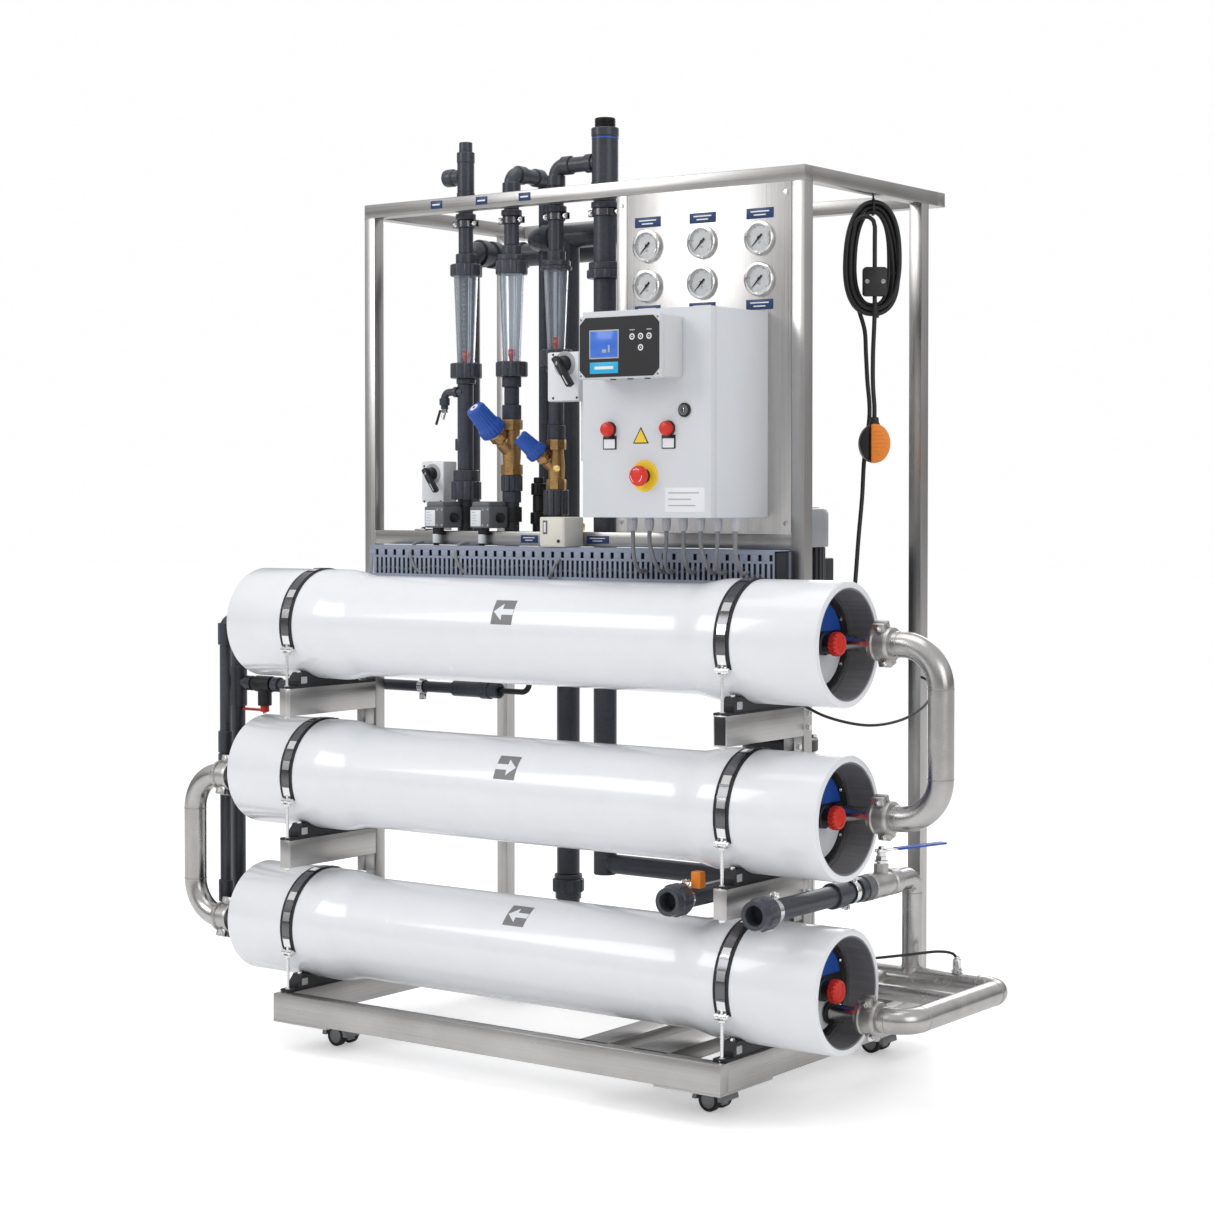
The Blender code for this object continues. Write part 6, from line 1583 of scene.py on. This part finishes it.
def control_cabinet():
    """The open case with its switchgear, the glands and their cables, and the first isolator."""
    made = Piece("cabinet_case")
    left, right, low, high = CASE
    front, back = -0.03, FACE - 0.0003
    made.box((left, front, low), (left + SHEET, back, high), CABINET, 0.0005)
    made.box((right - SHEET, front, low), (right, back, high), CABINET, 0.0005)
    made.box((left + 0.0005, front, high - SHEET), (right - 0.0005, back, high), CABINET, 0.0005)
    made.box((left + 0.0005, front, low), (right - 0.0005, back, low + SHEET), CABINET, 0.0005)
    made.box((left + 0.001, back - SHEET, low + 0.001), (right - 0.001, back, high - 0.001), CABINET, 0.0005)
    inner_low, inner_high = low + 0.012, high - 0.012
    for start, end in ((left + 0.0015, left + 0.012), (right - 0.012, right - 0.0015)):
        made.box((start, front, inner_low), (end, front + 0.0015, inner_high), CABINET, 0.0004)
    for start, end in ((low + 0.0015, inner_low), (inner_high, high - 0.0015)):
        made.box((left + 0.0015, front, start), (right - 0.0015, front + 0.0015, end), CABINET, 0.0004)
    made.box((-0.555, 0.136, 1.14), (-0.284, 0.1395, 1.505), STEEL["z"], 0.0008)
    for x, z in ((-0.53, 1.17), (-0.31, 1.48)):
        made.rod((x, 0.138, z), (x, 0.149, z), 0.009, CHROME, 24)
    for z in (1.435, 1.303):
        made.box((-0.548, 0.129, z - 0.0175), (-0.292, 0.1365, z + 0.0175), CHROME, 0.001)
    breaker_left = -0.54
    for index in range(7):
        x = breaker_left + index * 0.0186
        made.box((x, 0.068, 1.395), (x + 0.0176, 0.1295, 1.475), MOULDED, 0.0012)
        made.box((x, 0.0655, 1.417), (x + 0.0176, 0.069, 1.453), MOULDED, 0.001)
        made.box((x + 0.0055, 0.0655, 1.429), (x + 0.0121, 0.0662, 1.441), BLACK, 0.0003)
    for index in range(2):
        x = -0.394 + index * 0.048
        made.box((x, 0.083, 1.396), (x + 0.045, 0.1295, 1.479), BLACK, 0.0016)
        made.box((x + 0.008, 0.0805, 1.415), (x + 0.037, 0.084, 1.46), MOULDED, 0.001)
    made.box((-0.545, 0.062, 1.256), (-0.441, 0.1295, 1.349), SENSOR, 0.002)
    for index in range(9):
        z = 1.264 + index * 0.0092
        made.box((-0.54, 0.0602, z), (-0.447, 0.063, z + 0.004), BLACK, 0.0005)
    made.box((-0.425, 0.077, 1.266), (-0.301, 0.1295, 1.344), MOULDED, 0.0015)
    # the terminals' holes are near-black squares of painted shade
    for index in range(10):
        x = -0.42 + index * 0.0118
        for z in (1.271, 1.331):
            made.box((x, 0.0752, z), (x + 0.008, 0.078, z + 0.008), DARK, 0.0003)
    made.box((-0.545, 0.096, 1.17), (-0.295, 0.1375, 1.215), DUCT, 0.001)
    # the little duct's slots are near-black strips of painted shade
    for index in range(20):
        x = -0.541 + index * 0.0123
        made.box((x, 0.095, 1.177), (x + 0.0055, 0.0968, 1.207), DARK, 0.0002)
    for index in range(6):
        x = -0.525 + index * 0.038
        route = [(x, 0.092, 1.206), (x + 0.004, 0.08, 1.232), (x - 0.002, 0.082, 1.25), (x, 0.09, 1.262)]
        made.tube(smooth_route(route, 0.005), 0.0016, (BLACK, BLUE, CABLE_GREY)[index % 3], 10)

    for index in range(7):
        x = -0.52 + index * 0.04
        made.rod((x, 0.05, low + 0.0005), (x, 0.05, low - 0.005), 0.0094, GLANDS, 6)
        made.turned([(0, 0), (0.0092, 0), (0.0092, 0.011, 1), (0.0078, 0.018, 1), (0.006, 0.0215),
            (0, 0.0215)], (x, 0.05, low - 0.005), -Z_AXIS, GLANDS, 60, 10, 0.0008)
        shift = 0.01 * math.sin(index * 2.1)
        route = [(x, 0.05, low - 0.0255), (x, 0.05, low - 0.048), (x + shift * 0.5, 0.052, 1.052),
            (x + shift, 0.059, 1.03), (x + shift * 1.2, 0.074, 1.015), (x + shift * 1.2, 0.095, 1.016)]
        made.tube(smooth_route(route, 0.006), 0.0042, CABLE_GREY, 18)

    made.box((-0.7, 0.1205, 1.235), (left + 0.001, 0.1235, 1.45), CABINET, 0.0006)
    made.box((-0.762, 0.0905, 1.3555), (-0.6815, 0.121, 1.456), MOULDED, 0.003)
    made.box((-0.7605, 0.0882, 1.357), (-0.683, 0.0915, 1.4545), PAPER, 0.0012)
    isolator_face(made, (-0.7165, 0.0883, 1.431), 1.0, 0.075, 0.098)
    made.done("frame", ["control_cabinet"])

    second = Piece("isolator_2_case")
    second.box((-1.191, 0.201, 1.1505), (-1.128, 0.243, 1.2395), MOULDED, 0.003)
    second.box((-1.19, 0.1982, 1.1515), (-1.129, 0.2015, 1.2385), PAPER, 0.0012)
    isolator_face(second, (-1.16, 0.1983, 1.212), 0.85, 0.058, 0.085)
    second.box((-1.175, 0.242, MID_TOP + 0.0003), (-1.145, 0.245, 1.235), STEEL["z"], 0.0006)
    second.box((-1.175, 0.156, MID_TOP + 0.0003), (-1.145, 0.2445, MID_TOP + 0.0033), STEEL["y"], 0.0006)
    second.bolt((-1.16, 0.168, MID_TOP + 0.0033), Z_AXIS, 0.005)
    second.done("frame", ["isolator_box_2"])

    pivots = (Vector((-0.7165, 0.0877, 1.431)), Vector((-1.16, 0.1977, 1.212)))
    for index, place in enumerate(pivots):
        scale = (1.0, 0.85)[index]
        knob = Piece(f"isolator_grip_{index + 1}")
        knob.turned([(0, 0), (0.0165 * scale, 0), (0.016 * scale, 0.01 * scale),
            (0.013 * scale, 0.0165 * scale), (0.011 * scale, 0.018 * scale), (0, 0.018 * scale)], place,
            FRONT, BLACK, 48)
        turn = Matrix.Translation(place) @ Matrix.Rotation(math.radians(56), 4, "Y")
        knob.box(Vector((-0.016, -0.03, -0.0065)) * scale, Vector((0.055, -0.012, 0.0065)) * scale, BLACK,
            0.0032, turn)
        knob.box(Vector((0.03, -0.0306, -0.0008)) * scale, Vector((0.052, -0.0298, 0.0008)) * scale, PRINT,
            0.0002, turn)
        knob.rod(place - Y_AXIS * 0.029 * scale, place - Y_AXIS * 0.0304 * scale, 0.0035 * scale, CHROME, 20)
        knob.done(f"isolator_handle_{index + 1}", [f"isolator_handle_{index + 1}"])


def cabinet_door():
    """The door's folded pan with its seal, lamps, label holders, plates and the lock's ring."""
    made = Piece("door_pan")
    left, right, low, high = CASE
    face = DOOR_FACE
    back = -0.0303
    made.box((left, face, low), (right, face + SHEET, high), CABINET, 0.0009)
    for start, end in ((left, left + SHEET), (right - SHEET, right)):
        made.box((start, face + 0.0008, low), (end, back, high), CABINET, 0.0006)
    for start, end in ((low, low + SHEET), (high - SHEET, high)):
        made.box((left + 0.0004, face + 0.0008, start), (right - 0.0004, back, end), CABINET, 0.0006)
    seal = 0.013
    for start, end in ((left + seal, left + seal + 0.008), (right - seal - 0.008, right - seal)):
        made.box((start, face + 0.0015, low + seal), (end, back - 0.006, high - seal), RUBBER, 0.0015)
    for start, end in ((low + seal, low + seal + 0.008), (high - seal - 0.008, high - seal)):
        made.box((left + seal, face + 0.0015, start), (right - seal, back - 0.006, end), RUBBER, 0.0015)
    for x in (-0.503, -0.365):
        centre = (x, face, 1.2915)
        made.turned([(0.0, 0.0), (0.015, 0.0), (0.015, 0.0035), (0.0138, 0.0048), (0, 0.0048)], centre,
            FRONT, BLACK, 48)
        made.turned([(0, 0.0045), (0.0128, 0.0045), (0.0132, 0.006), (0.0128, 0.015), (0.0105, 0.0186),
            (0.006, 0.0199), (0, 0.02)], centre, FRONT, RED, 48)
        for rib in range(3):
            made.ring(centre, FRONT, 0.012, 0.0136, 0.0072 + rib * 0.0026, 0.0082 + rib * 0.0026, RED, 48,
                0.0003)
        made.rod((x, face + 0.03, 1.2915), (x, face + SHEET, 1.2915), 0.0108, BLACK, 32)
        made.box((x - 0.0155, face - 0.0022, 1.253), (x + 0.0155, face + 0.0004, 1.279), BLACK, 0.0008)
        made.box((x - 0.013, face - 0.0027, 1.255), (x + 0.013, face - 0.0018, 1.2725), PAPER, 0.0004)
    rim = [(-0.0185, -0.0125), (0.0185, -0.0125), (0.0, 0.0195)]
    middle = [(-0.0148, -0.0104), (0.0148, -0.0104), (0.0, 0.0152)]
    made.prism(rim, 0.0006, upright((-0.43, face + 0.0001, 1.276)), BLACK)
    made.prism(middle, 0.0004, upright((-0.43, face - 0.0004, 1.276)), YELLOW)
    stop = Vector((-0.4207, face, 1.2016))
    made.ring(stop, FRONT, 0.0085, 0.03, -0.001, 0.0025, YELLOW, 64)
    made.ring(stop, FRONT, 0.0085, 0.014, -0.001, 0.012, BLACK, 48)
    made.rod(stop + Y_AXIS * 0.032, stop + Y_AXIS * SHEET, 0.0125, BLACK, 32)
    lock = Vector((-0.328, face, 1.3256))
    made.turned([(0.0103, -0.018), (0.0118, -0.018), (0.0118, 0.0), (0.0135, 0.0004), (0.0135, 0.0038),
        (0.0122, 0.005), (0.0103, 0.005)], lock, FRONT, BLACK, 48, closed=True)
    made.box((-0.374, face - 0.0003, 1.133), (-0.283, face + 0.0004, 1.179), PAPER, 0.0001)
    for row, wide in enumerate((0.07, 0.052, 0.062)):
        level = 1.169 - row * 0.012
        made.box((-0.366, face - 0.0005, level - 0.0012), (-0.366 + wide, face - 0.0002, level + 0.0012),
            PRINT_GREY, 0.0001)
    for z in (1.18, 1.462):
        made.rod((left + 0.004, back - 0.008, z - 0.018), (left + 0.004, back - 0.008, z + 0.018), 0.003,
            CHROME, 20)
    made.done("door", ["cabinet_door"])

    button = Piece("stop_button_mushroom")
    head = [(0, 0.03), (0.008, 0.0298), (0.014, 0.0288), (0.0182, 0.0262), (0.0198, 0.0225),
        (0.02, 0.0185), (0.019, 0.0172), (0.008, 0.017), (0.0079, 0.006), (0, 0.006)]
    button.turned(head, stop, FRONT, RED, 64)
    for angle in evenly(3, 90):
        path = []
        for part_of in range(9):
            swing = angle + math.radians(-32 + 8 * part_of)
            path.append(stop + Vector((0.0128 * math.cos(swing), -0.0291, 0.0128 * math.sin(swing))))
        button.tube(path, 0.0006, PRINT, 8)
    button.done("stop_button", ["emergency_stop_button"])

    key = Piece("lock_insert")
    key.turned([(0, 0.0035), (0.0045, 0.0035), (0.0055, 0.007), (0.0092, 0.007), (0.0099, 0.0062),
        (0.0099, -0.01), (0, -0.01)], lock, FRONT, SENSOR, 40)
    key.box(lock + Vector((-0.0011, -0.0052, -0.0038)), lock + Vector((0.0011, -0.003, 0.0038)), CHROME,
        0.0003)
    key.box(lock + Vector((-0.006, 0.008, -0.006)), lock + Vector((0.034, 0.0105, 0.006)), CHROME, 0.0008)
    key.bolt(lock + Y_AXIS * 0.0103, Y_AXIS, 0.004)
    key.done("door_lock", ["door_lock"])

    box = Piece("controller_case")
    low_corner = Vector((-0.5215, -0.128, 1.385))
    high_corner = Vector((-0.3305, face - 0.0003, 1.5045))
    box.box(low_corner + Vector((0.0015, 0.014, 0.0015)), high_corner - Vector((0.0015, 0, 0.0015)), MOULDED,
        0.004)
    box.box(low_corner + Vector((0, 0.0012, 0)), (high_corner.x, low_corner.y + 0.015, high_corner.z),
        MOULDED, 0.0035)
    width = high_corner.x - low_corner.x
    height = high_corner.z - low_corner.z
    middle_x = (low_corner.x + high_corner.x) / 2
    middle_z = (low_corner.z + high_corner.z) / 2
    cut = 0.0135
    half_x = width / 2 - 0.0032
    half_z = height / 2 - 0.0032
    overlay = [(half_x - cut, -half_z), (half_x, cut - half_z), (half_x, half_z - cut),
        (half_x - cut, half_z), (cut - half_x, half_z), (-half_x, half_z - cut), (-half_x, cut - half_z),
        (cut - half_x, -half_z)]
    box.prism(overlay, 0.001, upright((middle_x, low_corner.y + 0.0014, middle_z)), BLACK)
    front = low_corner.y + 0.0004

    def on_face(start, end, material, lift):
        box.box((low_corner.x + start[0], front - lift, high_corner.z - end[1]),
            (low_corner.x + end[0], front + 0.0004, high_corner.z - start[1]), material, 0.0001)

    on_face((0.026, 0.027), (0.095, 0.0815), PRINT_GREY, 0.0001)
    on_face((0.0285, 0.0295), (0.0925, 0.079), SCREEN, 0.0003)
    on_face((0.0275, 0.088), (0.0935, 0.1095), CYAN, 0.0002)
    on_face((0.0385, 0.096), (0.0825, 0.1015), PRINT, 0.0003)
    on_face((0.056, 0.064), (0.066, 0.07), PRINT_GREY, 0.00035)
    on_face((0.07, 0.056), (0.074, 0.07), PRINT_GREY, 0.00035)
    for u, v in ((0.126, 0.042), (0.1455, 0.042), (0.165, 0.042), (0.1455, 0.063)):
        spot = Vector((low_corner.x + u, front, high_corner.z - v))
        box.ring(spot, FRONT, 0.0035, 0.006, -0.0003, 0.0004, PRINT, 40, 0.0001)
        box.rod(spot + Y_AXIS * 0.0003, spot - Y_AXIS * 0.0005, 0.0036, BLACK, 32, edge=0.0001)
        box.rod(spot, spot - Y_AXIS * 0.0007, 0.0014, PRINT, 16, edge=0.0001)
    for u in (0.126, 0.165):
        on_face((u - 0.006, 0.0285), (u + 0.006, 0.0305), PRINT_GREY, 0.0001)
    for dx in (-1, 1):
        for dz in (-1, 1):
            spot = Vector((middle_x + dx * (width / 2 - 0.0065), low_corner.y + 0.0014,
                middle_z + dz * (height / 2 - 0.0065)))
            box.rod(spot + Y_AXIS * 0.001, spot - Y_AXIS * 0.0008, 0.0032, CHROME, 20)
    for x in (-0.47, -0.43, -0.39):
        box.rod((x, -0.085, low_corner.z + 0.003), (x, -0.085, low_corner.z - 0.0003), 0.006, BLACK, 24)
    box.done("door", ["control_box"])


def small_lines():
    """Thin black hoses between the steel pipes, the frame and the vessels."""
    made = Piece("thin_hoses")
    first = [(-0.18, 0.1, 0.775), (-0.13, 0.14, 0.742), (-0.09, 0.22, 0.722), (-0.075, 0.32, 0.724),
        (-0.085, 0.43, 0.74), (-0.115, 0.53, 0.762), (-0.16, 0.6, 0.78), (-0.196, 0.62, 0.79)]
    made.tube(smooth_route(first, 0.01), 0.0028, CABLE, 14)
    second = [(0.01, 0.405, 0.2515), (0.005, 0.398, 0.264), (-0.016, 0.372, 0.27),
        (-0.06, 0.32, 0.266), (-0.11, 0.25, 0.264), (-0.15, 0.18, 0.272), (-0.18, 0.118, 0.29)]
    made.tube(smooth_route(second, 0.008), 0.0028, CABLE, 14)
    made.rod((0.01, 0.405, 0.25), (0.01, 0.405, 0.258), 0.006, CHROME, 24)
    third = [(-0.219, 0.166, 1.02), (-0.212, 0.19, 1.018), (-0.206, 0.2, 1.0),
        (-0.204, 0.197, 0.96), (-0.203, 0.194, 0.9), (-0.203, 0.193, 0.7), (-0.203, 0.193, 0.42)]
    made.tube(smooth_route(third, 0.012), 0.0045, CABLE, 18)
    for z in (HEADER_Z - 0.06, 0.64, 0.47):
        made.ring((-0.203, 0.19, z), Z_AXIS, 0.0075, 0.009, -0.002, 0.002, BLACK, 24)
    made.done("frame")
    stub = Piece("sample_union")
    stack(stub, -0.91, 0.252, [(1.08, 1.106, 0.0135), (1.104, 1.13, 0.018, True), (1.13, 1.166, 0.013),
        (1.166, 1.192, 0.0165, True), (1.192, 1.204, 0.011)], BLACK)
    stub.rod((-0.91, 0.252, 1.098), (-0.91, 0.3, 1.098), 0.01, BLACK, 28)
    stub.done("frame")


camera_and_light()
float_cable()
for vessel_name in VESSELS:
    vessel(vessel_name)
    end_head(vessel_name)
    element(vessel_name)
return_bends()
base_frame()
main_frame()
casters()
permeate_header()
feed_manifold()
pump()
columns()
handwheels()
meters()
rear_pipework()
gauge_panel()
cable_duct()
control_cabinet()
cabinet_door()
small_lines()
for vessel_name, vessel_height in VESSELS.items():
    for place_number, place_x in enumerate(saddle_centres()):
        strap(vessel_name, place_number + 1, place_x, vessel_height - 0.132)
